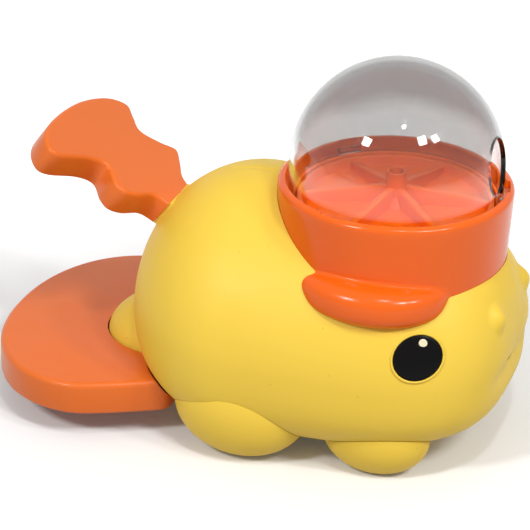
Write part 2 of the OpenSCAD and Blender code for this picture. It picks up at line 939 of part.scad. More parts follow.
module rotor_shaft() {
    color(steel)
        translate([cap_x, 0, shaft_low])
            difference() {
                cylinder(r=shaft_r, h=shaft_top - shaft_low);
                translate([0, 0, shaft_top - shaft_low - tip_screw_l])
                    cylinder(r=tip_screw_r + fit_gap, h=tip_screw_l + over);
            }
}

module rotor_pinion() {
    color(ivory)
        translate([cap_x, 0, rack_low])
            difference() {
                linear_extrude(rack_h) polygon(pinion_outline());
                translate([0, 0, -over]) cylinder(r=shaft_r + press_gap, h=rack_h + 2 * over);
            }
}

module rotor_screw() {
    color(steel)
        translate([cap_x, 0, web_z]) {
            translate([0, 0, -tip_screw_l]) cylinder(r=tip_screw_r, h=tip_screw_l);
            difference() {
                cylinder(r=tip_head_r, h=tip_head_h);
                translate([0, 0, tip_head_h / 2]) cylinder(r=tip_head_r / 2.6, h=tip_head_h, $fn=6);
            }
        }
}

module rotor_bush() {
    color(ivory)
        translate([cap_x, 0, floor_z - bush_h])
            difference() {
                cylinder(r=bush_r, h=bush_h);
                translate([0, 0, -over]) cylinder(r=shaft_r + run_gap, h=bush_h + 2 * over);
            }
}

// Deck with the lower bearing, the rails of the rack and the boss over the spring
module gear_deck() {
    tongue_x = pivot_x + 14;
    tongue_y = 9;
    rail_x = cap_x - cap_foot_r + cap_t + over;
    rail_front = cap_x + 14;
    rail_break = cap_x - 20;
    deck_lip = 0.8;
    bearing_floor = 2;
    pad_edge = 2.5;
    color(ivory)
        difference() {
            union() {
                translate([cap_x, 0, deck_low]) cylinder(r=cap_foot_r + deck_lip, h=deck_t);
                translate([tongue_x, -tongue_y, deck_low])
                    cube([cap_x - tongue_x, rack_back + rail_t + slide_gap + tongue_y, deck_t]);
                translate([cap_x, 0, deck_z - bearing_h - bearing_floor]) cylinder(r=bearing_r, h=bearing_h);
                translate([spring_x, 0, spring_high])
                    cylinder(r=spring_r + pad_edge, h=deck_low - spring_high);
                translate([spring_x, 0, spring_high - spigot_h])
                    cylinder(r=spring_r - spring_wire, h=spigot_h + over);
                translate([rail_x, rack_back + slide_gap, deck_z - over])
                    cube([rail_front - rail_x, rail_t, rack_h / 2 + over]);
                translate([rail_x, pitch_r - slide_gap - rail_t, deck_z - over])
                    cube([rail_break - rail_x, rail_t, rack_h / 2 + over]);
            }
            translate([cap_x, 0, deck_z - bearing_h]) cylinder(r=shaft_r + run_gap, h=bearing_h + over);
            for (sx = [-1, 1])
                for (sy = [-1, 1])
                    translate([cap_x + sx * deck_post_at[0], sy * deck_post_at[1], deck_low - over])
                        cylinder(r=screw_hole, h=deck_t + 2 * over);
            for (a = cap_screw_angles)
                translate([cap_x + cap_screw_r * cos(a), cap_screw_r * sin(a), deck_low - over])
                    cylinder(r=screw_hole, h=deck_t + 2 * over);
        }
}

module drive_rack() {
    color(ivory)
        difference() {
            translate([cap_x, 0, rack_low]) linear_extrude(rack_h) polygon(rack_outline());
            hull()
                for (z = [drive_z + drive_spare, drive_z - drive_drop - drive_spare])
                    rod_y(pivot_x, z, drive_pin_r + drive_gap, pitch_r - over, rack_back + over, $fn=32);
        }
}

module pedal_cover() {
    outline = pedal_outline();
    edge = pedal_t;
    low_edge = pedal_t / 2;
    steps = 4;
    rings = concat(
        [at_height(drawn_in(outline, low_edge), pedal_low), at_height(outline, pedal_low + low_edge)],
        [
            for (s = [0:steps])
                let (a = 90 * s / steps)
                at_height(drawn_in(outline, edge * (1 - cos(a))), pedal_top - edge + edge * sin(a))
        ]
    );
    color(satin_orange)
        difference() {
            union() {
                difference() {
                    loft(rings);
                    difference() {
                        translate([0, 0, pedal_low - over])
                            linear_extrude(pedal_h - pedal_t + over)
                                polygon(drawn_in(outline, edge));
                        body_solid(pedal_gap + pedal_t);
                    }
                }
                for (p = pedal_screw_at)
                    translate([p[0], p[1], lever_top])
                        cylinder(r=boss_r, h=pedal_top - pedal_t / 2 - lever_top);
                for (s = [-1, 1])
                    translate([stop_x, s * stop_y, pedal_low])
                        cylinder(r=stop_r, h=pedal_h - pedal_t / 2);
            }
            body_solid(pedal_gap);
            translate(nub_at) lump(nub_size + pedal_gap * [1, 1, 1], 10, 20);
            translate([nub_rear + pedal_t, -lever_w / 2 - post_gap, pedal_low - over])
                cube([pivot_x - nub_rear, lever_w + 2 * post_gap, lever_top + fit_gap - pedal_low + over]);
            for (p = pedal_screw_at)
                translate([p[0], p[1], lever_top - over])
                    cylinder(r=screw_hole, h=pedal_bite + hole_spare / 2 + over);
        }
}

// Bar under the cover, pivot hub, upright arm with the drive pin, and spring arm
module pedal_lever() {
    arm_y = pitch_r + rack_tongue_t + post_gap;
    arm_w = 4;
    arm_l = 8;
    spring_arm_t = 6;
    pad_edge = 2;
    color(ivory)
        difference() {
            union() {
                translate([lever_rear, -lever_w / 2, lever_low])
                    cube([pivot_x - lever_rear, lever_w, lever_t]);
                rod_y(pivot_x, pivot_z, lever_hub_r, -hub_w / 2, hub_w / 2);
                translate([pivot_x - arm_l / 2, arm_y, pivot_z]) cube([arm_l, arm_w, drive_z - pivot_z]);
                rod_y(pivot_x, drive_z, arm_l / 2, arm_y, arm_y + arm_w);
                rod_y(pivot_x, drive_z, drive_pin_r, pitch_r - post_gap, arm_y + over);
                translate([pivot_x, -spring_arm_w / 2, spring_low - spring_arm_t])
                    cube([spring_x - pivot_x, spring_arm_w, spring_arm_t]);
                translate([spring_x, 0, spring_low - spring_arm_t])
                    cylinder(r=spring_r + pad_edge, h=spring_arm_t);
                translate([spring_x, 0, spring_low - over])
                    cylinder(r=spring_r - spring_wire, h=spigot_h + over);
            }
            rod_y(pivot_x, pivot_z, pin_d / 2 + run_gap, -hub_w, hub_w);
            for (p = pedal_screw_at)
                translate([p[0], p[1], lever_low - over]) cylinder(r=screw_hole, h=lever_t + 2 * over);
        }
}

module pivot_pin() {
    color(steel) rod_y(pivot_x, pivot_z, pin_d / 2, -pin_l / 2, pin_l / 2);
}

// Coil between the spring arm and the deck's boss, one unbroken tube
module return_spring() {
    steps = 12;
    wire_sides = 6;
    wire_r = spring_wire / 2;
    low = spring_low + wire_r + seat_gap;
    climb = spring_high - spring_low - spring_wire - 2 * seat_gap;
    count = spring_turns * steps;
    rings = [
        for (i = [0:count])
            let (a = 360 * i / steps)
            [
                for (s = [0:wire_sides - 1])
                    let (
                        b = -360 * s / wire_sides,
                        r = spring_r + wire_r * cos(b)
                    )
                    [spring_x + r * cos(a), r * sin(a), low + climb * i / count + wire_r * sin(b)]
            ]
    ];
    color(steel) loft(rings);
}

module tail() {
    outline = [
        for (p = smooth_open(tail_points, tail_steps)) [tail_base + p[0] * tail_unit, p[1] * tail_unit]
    ];
    crown = 2;
    back_edge = 1;
    steps = 4;
    rings = [
        for (s = [0:steps])
            let (a = 90 * s / steps)
            at_height(tail_ring(outline, crown * (1 - sin(a))), crown * (1 - cos(a))),
        at_height(outline, tail_t - back_edge),
        at_height(tail_ring(outline, back_edge), tail_t)
    ];
    color(satin_orange)
        at_tail() {
            loft(rings);
            tail_tongue(0);
        }
}

// A foot on the left: a rounded lump cut by the body and flat where its pad is
module foot(at, size) {
    color(yellow)
        union() {
            difference() {
                translate([cap_x + at[0], at[1], at[2]]) lump(size, 12, 26);
                body_half(fit_gap);
                translate([cap_x + at[0] - block / 2, at[1] - block / 2, pad_t - block]) cube(block);
                translate([cap_x + at[0] - block / 2, fit_gap - block, -block / 2]) cube(block);
            }
            foot_peg(at, 0);
        }
}

module foot_front_left() { foot(front_foot_at, front_foot_size); }

module foot_front_right() { mirror([0, 1, 0]) foot(front_foot_at, front_foot_size); }

module foot_rear_left() { foot(rear_foot_at, rear_foot_size); }

module foot_rear_right() { mirror([0, 1, 0]) foot(rear_foot_at, rear_foot_size); }

module foot_pads() {
    color(rubber)
        for (at = [rear_foot_at, front_foot_at])
            for (s = [-1, 1])
                translate([cap_x + at[0], s * at[1], 0]) cylinder(r=foot_pad_r, h=pad_t);
}

module pedal_pads() {
    color(rubber)
        for (s = [-1, 1])
            translate([stop_x, s * stop_y, stop_low]) cylinder(r=stop_r, h=stop_h);
}

module eye() {
    at_eye()
        intersection() {
            eye_disc(0, -eye_depth, eye_rise);
            translate([0, 0, eye_crown - eye_round]) sphere(r=eye_round, $fn=240);
        }
}

module eye_left() { color("black") eye(); }

module eye_right() { color("black") mirror([0, 1, 0]) eye(); }

module body_screws() {
    color(steel)
        for (p = body_screw_at)
            translate([p[0], body_screw_reach, p[1]])
                rotate([-90, 0, 0]) screw(body_screw_reach + body_screw_bite);
}

module deck_screws() {
    color(steel)
        for (sx = [-1, 1])
            for (sy = [-1, 1])
                translate([cap_x + sx * deck_post_at[0], sy * deck_post_at[1], deck_z])
                    screw(deck_t + screw_bite);
}

module cap_screws() {
    color(steel)
        for (a = cap_screw_angles)
            translate([cap_x + cap_screw_r * cos(a), cap_screw_r * sin(a), deck_low])
                rotate([180, 0, 0]) screw(deck_t + screw_bite);
}

module pedal_screws() {
    color(steel)
        for (p = pedal_screw_at)
            translate([p[0], p[1], lever_low]) rotate([180, 0, 0]) screw(lever_t + pedal_bite);
}

body_right_shell();
body_left_shell();
cap_ring();
dome();
turntable();
rotor_shaft();
rotor_pinion();
rotor_screw();
rotor_bush();
gear_deck();
drive_rack();
pedal_cover();
pedal_lever();
pivot_pin();
return_spring();
tail();
foot_front_right();
foot_front_left();
foot_rear_right();
foot_rear_left();
foot_pads();
pedal_pads();
eye_right();
eye_left();
body_screws();
deck_screws();
cap_screws();
pedal_screws();
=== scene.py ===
import math

import bmesh
import bpy
import numpy
from mathutils import Matrix, Vector


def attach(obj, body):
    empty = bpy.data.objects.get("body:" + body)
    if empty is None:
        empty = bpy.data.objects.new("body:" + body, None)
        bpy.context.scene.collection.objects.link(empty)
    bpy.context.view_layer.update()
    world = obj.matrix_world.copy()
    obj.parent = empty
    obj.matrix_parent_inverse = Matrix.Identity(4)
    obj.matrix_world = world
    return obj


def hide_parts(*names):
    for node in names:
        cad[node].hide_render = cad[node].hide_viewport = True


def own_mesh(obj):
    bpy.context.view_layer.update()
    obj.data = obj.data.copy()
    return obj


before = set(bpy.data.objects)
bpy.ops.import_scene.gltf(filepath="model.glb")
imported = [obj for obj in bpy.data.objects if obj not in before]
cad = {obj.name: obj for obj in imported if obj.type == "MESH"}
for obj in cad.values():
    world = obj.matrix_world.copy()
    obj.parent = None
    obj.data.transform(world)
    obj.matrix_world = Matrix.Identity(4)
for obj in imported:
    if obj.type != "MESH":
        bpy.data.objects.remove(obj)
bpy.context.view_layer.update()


# Body shells: two hollow halves of satin yellow plastic, moulded and screwed together from the left flank.
# The skin is one rounded form, blunt at the snout. It is parted in the middle plane with a fine eased seam,
# given its wall, and cut for the ring, the lever, the tail and the eyes.
mm = 0.001
cap_x = 58.75 * mm
waist_x = -0.25 * mm
rump_l = 53.5 * mm
snout_l = 115 * mm
half_w = 64 * mm
girth_z = 47 * mm
back_rise = 64 * mm
belly_drop = 40 * mm
rump_power = 1.9
snout_power = 3.25
back_power = 1.85
belly_power = 3.1
rump_lift = 3 * mm
snout_lift = -1 * mm
lift_power = 1.5
shell_t = 2.4 * mm
snout_from = 92 * mm
snout_density = 2.6
samples = 4001


def even_run(points, weight=1.0):
    """Share of the way along a row of points, from 0 to 1, with closer steps where the weight is higher."""
    steps = numpy.hypot(*numpy.diff(points, axis=0).T) * weight
    run = numpy.concatenate([[0], numpy.cumsum(steps)])
    return run / run[-1]


def body_skin(grow=0.0, around=176, along=168):
    """The body's closed skin, or one that lies a little outside it."""
    turn = numpy.linspace(0, math.pi, samples)
    share = numpy.cos(turn)
    rear = share > 0
    power = numpy.where(rear, rump_power, snout_power)
    size = numpy.clip(1 - numpy.abs(share) ** power, 0, None) ** (1 / power)
    x = waist_x - (numpy.where(rear, rump_l, snout_l) + grow) * share
    middle = girth_z + numpy.where(rear, rump_lift, snout_lift) * numpy.abs(share) ** lift_power
    density = numpy.where(x[1:] > snout_from, snout_density, 1)
    along_run = even_run(numpy.column_stack([x, half_w * size]), density)
    lean = numpy.linspace(-math.pi / 2, math.pi / 2, samples)
    curve = numpy.where(lean < 0, 2 / belly_power, 2 / back_power)
    side = numpy.abs(numpy.cos(lean)) ** curve
    rise = numpy.sign(lean) * numpy.abs(numpy.sin(lean)) ** curve
    tall = numpy.where(lean < 0, belly_drop, back_rise) + grow
    round_run = even_run(numpy.column_stack([half_w * side, tall * rise]))
    bm = bmesh.new()
    bmesh.ops.create_uvsphere(bm, u_segments=around, v_segments=along, radius=1)
    ball = numpy.array([v.co for v in bm.verts])
    a = numpy.arccos(numpy.clip(ball[:, 2], -1, 1)) / math.pi
    b = numpy.arctan2(ball[:, 1], numpy.abs(ball[:, 0])) / math.pi + 0.5
    here = numpy.interp(a, along_run, size)
    out = (half_w + grow) * here * numpy.interp(b, round_run, side)
    place_x = numpy.interp(a, along_run, x)
    place_z = numpy.interp(a, along_run, middle) + here * numpy.interp(b, round_run, tall * rise)
    for v, px, py, pz in zip(bm.verts, place_x, -numpy.sign(ball[:, 0]) * out, place_z):
        v.co = (px, py, pz)
    bm.normal_update()
    return bm


def body_side(x, z):
    """Half width of the body at a place on its flank."""
    share = abs(x - waist_x) / (rump_l if x < waist_x else snout_l)
    power = rump_power if x < waist_x else snout_power
    size = (1 - share**power) ** (1 / power)
    up = z - girth_z - (rump_lift if x < waist_x else snout_lift) * share**lift_power
    fall = back_power if up > 0 else belly_power
    tall = (back_rise if up > 0 else belly_drop) * size
    return half_w * size * (1 - (abs(up) / tall) ** fall) ** (1 / fall)


def new_piece(bm, name):
    """Turns a bmesh into a finished object at the origin."""
    mesh = bpy.data.meshes.new(name)
    bm.to_mesh(mesh)
    bm.free()
    piece = bpy.data.objects.new(name, mesh)
    bpy.context.scene.collection.objects.link(piece)
    return piece


def settle(piece):
    """Makes a piece's modifiers part of its mesh."""
    graph = bpy.context.evaluated_depsgraph_get()
    shape = bpy.data.meshes.new_from_object(piece.evaluated_get(graph))
    piece.modifiers.clear()
    piece.data = shape
    piece.data.name = piece.name


def carve(piece, tool, operation="DIFFERENCE", keep=False):
    """Cuts a tool out of a piece, or joins it on."""
    cut = piece.modifiers.new("carve", "BOOLEAN")
    cut.operation = operation
    cut.solver = "MANIFOLD"
    cut.object = tool
    settle(piece)
    if not keep:
        bpy.data.objects.remove(tool)


def finish(piece, body, node, material, degrees=38):
    """Shades a piece, gives it its material, ties it to its body and hides the part it stands for, where one
    is given.
    """
    for face in piece.data.polygons:
        face.use_smooth = True
        face.material_index = 0
    piece.data.set_sharp_from_angle(angle=math.radians(degrees))
    piece.data.materials.clear()
    piece.data.materials.append(material)
    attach(piece, body)
    if node:
        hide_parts(node)


def all_of(bm):
    """Everything in a bmesh."""
    return bm.verts[:] + bm.edges[:] + bm.faces[:]


def verts_of(result):
    """The points among what an operator made."""
    return [v for v in result["geom"] if isinstance(v, bmesh.types.BMVert)]


def add_rod(bm, start, end, radius, tip_radius=None, segments=48, facet_shift=2.2):
    """A round rod from one point to another, its facets turned a little off the main planes."""
    start, end = Vector(start), Vector(end)
    off_plane = Matrix.Rotation(facet_shift / segments, 4, "Z")
    turn = (end - start).to_track_quat("Z", "Y").to_matrix().to_4x4() @ off_plane
    bmesh.ops.create_cone(
        bm, cap_ends=True, segments=segments, radius1=radius,
        radius2=radius if tip_radius is None else tip_radius, depth=(end - start).length,
        matrix=Matrix.Translation((start + end) / 2) @ turn,
    )


def add_block(bm, low, high, turn=None):
    """A block between two corners."""
    low, high = Vector(low), Vector(high)
    place = Matrix.Translation((low + high) / 2) @ Matrix.Diagonal((*(high - low), 1))
    bmesh.ops.create_cube(bm, size=1, matrix=place if turn is None else turn @ place)


def rounded_lump(at, size, low=None, around=96, up=64):
    """A rounded lump with three half sizes, cut flat at a height where one is given."""
    bm = bmesh.new()
    bmesh.ops.create_uvsphere(bm, u_segments=around, v_segments=up, radius=1)
    bmesh.ops.scale(bm, vec=size, verts=bm.verts)
    bmesh.ops.translate(bm, vec=at, verts=bm.verts)
    if low is not None:
        cut = bmesh.ops.bisect_plane(
            bm, geom=all_of(bm), dist=1e-8, plane_co=(0, 0, low), plane_no=(0, 0, 1), clear_inner=True
        )
        rim = [e for e in cut["geom_cut"] if isinstance(e, bmesh.types.BMEdge)]
        bmesh.ops.holes_fill(bm, edges=rim, sides=0)
    return bm


def object_noise(tree, place, scale, detail=2):
    """A noise that lies still on the piece."""
    noise = tree.nodes.new("ShaderNodeTexNoise")
    noise.inputs["Scale"].default_value = scale
    noise.inputs["Detail"].default_value = detail
    tree.links.new(place.outputs["Object"], noise.inputs["Vector"])
    return noise.outputs["Fac"]


def ranged(tree, value, start, end, low, high, kind="LINEAR"):
    """A value carried over from one range into another."""
    spread = tree.nodes.new("ShaderNodeMapRange")
    spread.interpolation_type = kind
    for socket, limit in {"From Min": start, "From Max": end, "To Min": low, "To Max": high}.items():
        spread.inputs[socket].default_value = limit
    tree.links.new(value, spread.inputs["Value"])
    return spread.outputs["Result"]


def mixed(tree, share, first, second):
    """Two colours mixed by a share. The first may come from another node."""
    mix = tree.nodes.new("ShaderNodeMix")
    mix.data_type = "RGBA"
    if isinstance(first, tuple):
        mix.inputs["A"].default_value = (*first, 1)
    else:
        tree.links.new(first, mix.inputs["A"])
    mix.inputs["B"].default_value = (*second, 1)
    tree.links.new(share, mix.inputs["Factor"])
    return mix.outputs["Result"]


def bumped(tree, height, strength, distance):
    """Fine unevenness of a surface."""
    bump = tree.nodes.new("ShaderNodeBump")
    bump.inputs["Strength"].default_value = strength
    bump.inputs["Distance"].default_value = distance
    tree.links.new(height, bump.inputs["Height"])
    return bump.outputs["Normal"]


def moulded_plastic(name, colour, deep, rough, rough_swing, grain, grain_scale, sheen=0.5, specks=None):
    """Injection-moulded plastic: faint drifts of tone, uneven polish and a fine moulded grain."""
    made = bpy.data.materials.new(name)
    made.use_nodes = True
    tree = made.node_tree
    shader = tree.nodes["Principled BSDF"]
    shader.inputs["IOR"].default_value = 1.5
    shader.inputs["Specular IOR Level"].default_value = sheen
    place = tree.nodes.new("ShaderNodeTexCoord")
    tone = mixed(tree, object_noise(tree, place, scale=22, detail=3), colour, deep)
    if specks:
        cells = tree.nodes.new("ShaderNodeTexVoronoi")
        cells.inputs["Scale"].default_value = 105
        tree.links.new(place.outputs["Object"], cells.inputs["Vector"])
        dot = ranged(tree, cells.outputs["Distance"], start=0.055, end=0.02, low=0, high=0.42)
        tone = mixed(tree, dot, tone, specks)
    tree.links.new(tone, shader.inputs["Base Color"])
    wear = object_noise(tree, place, scale=95, detail=6)
    polish = ranged(tree, wear, start=0.3, end=0.7, low=rough - rough_swing, high=rough + rough_swing)
    tree.links.new(polish, shader.inputs["Roughness"])
    pits = object_noise(tree, place, grain_scale)
    tree.links.new(bumped(tree, pits, strength=grain, distance=0.2 * mm), shader.inputs["Normal"])
    return made


yellow_plastic = moulded_plastic(
    "yellow_plastic", (0.86, 0.595, 0.07), (0.83, 0.56, 0.06), rough=0.48, rough_swing=0.05,
    grain=0.08, grain_scale=1500, sheen=0.24, specks=(0.42, 0.27, 0.05),
)

# The face: two soft nostril bumps, a rounded muzzle over a chin set back, and the mouth as a short groove
nostril = Vector((110.4, 20.5, 70.2)) * mm
nostril_reach = 6.6 * mm
nostril_tall = 1.2
nostril_h = 3.0 * mm
muzzle = Vector((24, 55)) * mm
muzzle_reach = 13 * mm
muzzle_h = 0.8 * mm
chin_z = 42.5 * mm
chin_reach = 5.6 * mm
chin_back = 2.0 * mm
chin_half_w = 15 * mm
chin_fade = 20 * mm
mouth_z = 65 * mm
mouth_r = 22 * mm
mouth_open = math.radians(15)
mouth_fade = math.radians(14)
mouth_depth = 0.6 * mm
mouth_w = 0.9 * mm
snout_end = 114.74 * mm


def eased(share):
    """A soft step from 0 to 1."""
    share = max(0, min(1, share))
    return share * share * (3 - 2 * share)


def shape_face(bm):
    """Pushes the snout's skin out and in to form the face."""
    for v in bm.verts:
        if v.co.x < snout_from:
            continue
        across, up = abs(v.co.y), v.co.z
        near = Vector((v.co.x - nostril.x, across - nostril.y, (up - nostril.z) / nostril_tall))
        push = nostril_h * max(0, 1 - (near.length / nostril_reach) ** 2) ** 2
        push += muzzle_h * math.exp(-((Vector((across, up)) - muzzle).length / muzzle_reach) ** 2)
        inward = eased(1 - (across - chin_half_w) / chin_fade)
        push -= inward * chin_back * math.exp(-(((up - chin_z) / chin_reach) ** 2))
        out = math.hypot(across, mouth_z - up)
        swing = math.atan2(across, mouth_z - up)
        ease = eased(1 - (swing - mouth_open) / mouth_fade)
        push -= ease * mouth_depth * math.exp(-(((out - mouth_r) / mouth_w) ** 2))
        v.co += v.normal * push
        v.co.x = min(v.co.x, snout_end)


eye_x = 85.75 * mm
eye_z = 62.6 * mm
eye_l = 21 * mm
eye_h = 18.5 * mm
eye_depth = 1.6 * mm
eye_turn = Matrix((
    (-0.75000671, -0.54447533, 0.37554835),
    (0.49013281, -0.07624154, 0.868307),
    (-0.44413936, 0.83530464, 0.32404689),
))
eye_place = Matrix.Translation((eye_x, body_side(eye_x, eye_z), eye_z)) @ eye_turn.to_4x4()
mirror_y = Matrix.Diagonal((1, -1, 1, 1))
upright = Matrix.Rotation(math.pi / 2, 4, "X")
eye_seat_tall = 8 * mm
eye_seat_spare = 0.03 * mm
lip_r = 0.55 * mm
lip_z = -0.66 * mm

neck = Vector((-37.7, 0, 92.6)) * mm
tail_rise = 36
tail_t = 12.9 * mm
tail_middle = tail_t / 2
tail_place = Matrix.Translation(neck) @ Matrix.Rotation(math.radians(180 + tail_rise), 4, "Y")
tongue_w = 15 * mm
tongue_t = 7 * mm
tongue_in = 9 * mm
tongue_spare = 3.3 * mm
socket_out = 6 * mm
collar_low = (-7 * mm, -10.5 * mm, 0)
collar_high = (0.42 * mm, 10.5 * mm, tail_t - 0.05 * mm)
collar_lip_low = (-6 * mm, 0.5 * mm, -0.9 * mm)
collar_lip_high = (0.41 * mm, 9.5 * mm, 2 * mm)

nub_at = Vector((-40, 0, 26)) * mm
nub_size = Vector((29, 27.5, 17)) * mm
nub_low = 22.8 * mm
slot_low = (-61.25 * mm, -12.5 * mm, 8.5 * mm)
slot_high = (-20.25 * mm, 12.5 * mm, 23.2 * mm)
rim_z = 116 * mm
rim_edge = 2.6 * mm
deck_z = 69 * mm
cap_foot_r = 47.3 * mm
cap_taper = 2.2 * mm
well_low = 77 * mm
well_steps = 176
fit_gap = 0.15 * mm
body_screws = [Vector(p) * mm for p in ((-41.25, 14, 62), (0.75, 14, 98), (101.75, 14, 30), (46.75, 14, 20))]
boss_r = 4.2 * mm
boss_short = 1 * mm
screw_hole_r = 1.65 * mm
screw_tip_y = -12 * mm
screw_spare = 1 * mm
head_hole_r = 3.3 * mm
head_hole_out = 2 * mm
seam_gap = 0.04 * mm
seam_ease = 0.55 * mm
seam_drop = 0.35 * mm
past_end = 140 * mm
past_side = 90 * mm
past_floor = -20 * mm


def cap_wall_r(z):
    """Outer radius of the ring's tapered wall at a height."""
    return cap_foot_r + cap_taper * (z - deck_z) / (rim_z - rim_edge - deck_z)


bm = body_skin()
shape_face(bm)
for offset in (-seam_ease, 0, seam_ease):
    bmesh.ops.bisect_plane(bm, geom=all_of(bm), dist=1e-8, plane_co=(0, offset, 0), plane_no=(0, 1, 0))
bm.normal_update()
for v in bm.verts:
    if abs(v.co.y) < 1e-7:
        v.co -= v.normal * seam_drop
body = new_piece(bm, "body")

# Joined on: the nub over the lever and the collar round the tail's root; inside, the screw pillars
bm = rounded_lump(nub_at, nub_size, nub_low)
add_block(bm, collar_low, collar_high, tail_place)
add_block(bm, collar_lip_low, collar_lip_high, tail_place)
carve(body, new_piece(bm, "added"), "UNION")
carve(body, new_piece(body_skin(-shell_t, 120, 90), "hollow"))
bm = bmesh.new()
for p in body_screws:
    round_it = [body_side(p.x + i * boss_r, p.z + j * boss_r) for i in (-1, 1) for j in (-1, 1)]
    flank = min(round_it) - boss_short
    add_rod(bm, (p.x, -flank, p.z), (p.x, flank, p.z), boss_r)
carve(body, new_piece(bm, "pillars"), "UNION")

# Cut out: the well for the ring, the lever's slot, the tail's socket, the eyes' seats and the screw holes
bm = bmesh.new()
add_rod(
    bm, (cap_x, 0, well_low), (cap_x, 0, rim_z),
    cap_wall_r(well_low) + fit_gap, cap_wall_r(rim_z) + fit_gap, well_steps,
)
carve(body, new_piece(bm, "well_tool"))
bm = bmesh.new()
add_block(bm, slot_low, slot_high)
add_block(
    bm, (-tongue_in - tongue_spare, -tongue_w / 2 - fit_gap, tail_middle - tongue_t / 2 - fit_gap),
    (socket_out, tongue_w / 2 + fit_gap, tail_middle + tongue_t / 2 + fit_gap), tail_place,
)
stretch = Matrix.Diagonal((eye_l / 2 + fit_gap, eye_h / 2 + fit_gap, eye_seat_tall, 1))
seat_up = Matrix.Translation((0, 0, eye_seat_tall / 2 - eye_depth - eye_seat_spare))
for mirrored in (Matrix.Identity(4), mirror_y):
    bmesh.ops.create_cone(
        bm, cap_ends=True, segments=96, radius1=1, radius2=1, depth=1,
        matrix=mirrored @ eye_place @ seat_up @ stretch,
    )
bmesh.ops.recalc_face_normals(bm, faces=bm.faces)
carve(body, new_piece(bm, "slot_tool"))
bm = bmesh.new()
for mirrored in (Matrix.Identity(4), mirror_y):
    lip = bmesh.ops.create_circle(
        bm, segments=10, radius=lip_r, matrix=Matrix.Translation((eye_l / 2 + lip_r, 0, lip_z)) @ upright
    )["verts"]
    edges = list({e for v in lip for e in v.link_edges})
    bmesh.ops.spin(
        bm, geom=lip + edges, cent=(0, 0, 0), axis=(0, 0, 1), dvec=(0, 0, 0),
        angle=2 * math.pi, steps=96, use_merge=True,
    )
    fresh = list({v for f in bm.faces for v in f.verts if not f.tag})
    for f in bm.faces:
        f.tag = True
    bmesh.ops.scale(bm, vec=(1, eye_h / eye_l, 1), verts=fresh)
    bmesh.ops.transform(bm, matrix=mirrored @ eye_place, verts=fresh)
bmesh.ops.recalc_face_normals(bm, faces=bm.faces)
carve(body, new_piece(bm, "eye_lips"), "UNION")
bm = bmesh.new()
for p in body_screws:
    add_rod(bm, (p.x, screw_tip_y, p.z), (p.x, p.y + screw_spare, p.z), screw_hole_r)
carve(body, new_piece(bm, "screw_tool"))
bm = bmesh.new()
for p in body_screws:
    add_rod(bm, p, (p.x, half_w + head_hole_out, p.z), head_hole_r)
carve(body, new_piece(bm, "head_tool"))

for shell_name, node, side in (("shell_right", "body_right_shell", -1), ("shell_left", "body_left_shell", 1)):
    shell = bpy.data.objects.new(shell_name, body.data.copy())
    bpy.context.scene.collection.objects.link(shell)
    bm = bmesh.new()
    near, far = sorted((side * seam_gap, -side * past_side))
    add_block(bm, (-past_end, near, past_floor), (past_end, far, past_end))
    carve(shell, new_piece(bm, "half_tool"))
    finish(shell, "body", node, yellow_plastic)
bpy.data.objects.remove(body)


# Feet: four rounded feet of the same yellow plastic, moulded on their own and pushed into the belly on pegs.
# Each is a lump, given here for the left by its middle and half sizes, cut to the body and flat over its pad.
foot_forms = {
    "rear": ((8.8, 46.8, 23.1), (29.5, 17.8, 23.1)),
    "front": ((66.2, 39.3, 17.2), (23.4, 14.5, 18.2)),
}
pad_t = 1.2 * mm
belly_tool = new_piece(body_skin(fit_gap), "belly_tool")
for end, (at, size) in foot_forms.items():
    for hand, side in (("right", -1), ("left", 1)):
        foot_at = Vector((at[0], side * at[1], at[2])) * mm
        bm = rounded_lump(foot_at, Vector(size) * mm, pad_t)
        foot = new_piece(bm, f"foot_lump_{end}_{hand}")
        carve(foot, belly_tool, keep=True)
        finish(foot, "body", f"foot_{end}_{hand}", yellow_plastic)
bpy.data.objects.remove(belly_tool)


# Eyes: glossy black ovals with a domed face, pressed into seats in the shells, each with a raised white spot.
# The face is turned from its section and then drawn out to an oval.
def turned(points, steps, closed=True):
    """A form turned about the upright axis from its section, given as radius and height."""
    bm = bmesh.new()
    verts = [bm.verts.new((p[0], 0, p[1])) for p in points]
    edges = [bm.edges.new(pair) for pair in zip(verts, verts[1:])]
    if closed:
        edges.append(bm.edges.new((verts[-1], verts[0])))
    bmesh.ops.spin(
        bm, geom=verts + edges, cent=(0, 0, 0), axis=(0, 0, 1), dvec=(0, 0, 0),
        angle=2 * math.pi, steps=steps, use_merge=True,
    )
    bmesh.ops.remove_doubles(bm, verts=bm.verts, dist=1e-6)
    bmesh.ops.dissolve_degenerate(bm, edges=bm.edges, dist=1e-7)
    bmesh.ops.recalc_face_normals(bm, faces=bm.faces)
    return bm


eye_r = eye_l / 2
eye_round = 56 * mm
eye_crown = 0.5 * mm
eye_edge = 0.35 * mm
eye_steps = 14
spot_at = Vector((-4.75, 4.48)) * mm
spot_r = 1.75 * mm
spot_sink = 0.25 * mm
spot_rise = 0.12 * mm
spot_dip = 0.06 * mm
black_gloss = moulded_plastic(
    "black_gloss", (0.003, 0.003, 0.003), (0.006, 0.005, 0.005), rough=0.26, rough_swing=0.04,
    grain=0.02, grain_scale=900, sheen=0.06,
)
white_spot = moulded_plastic(
    "white_spot", (0.86, 0.78, 0.55), (0.8, 0.7, 0.46), rough=0.35, rough_swing=0.04,
    grain=0.03, grain_scale=1200,
)


def eye_face(r):
    """Height of the eye's domed face at a distance from its middle."""
    return eye_crown - eye_round + math.sqrt(eye_round**2 - r**2)


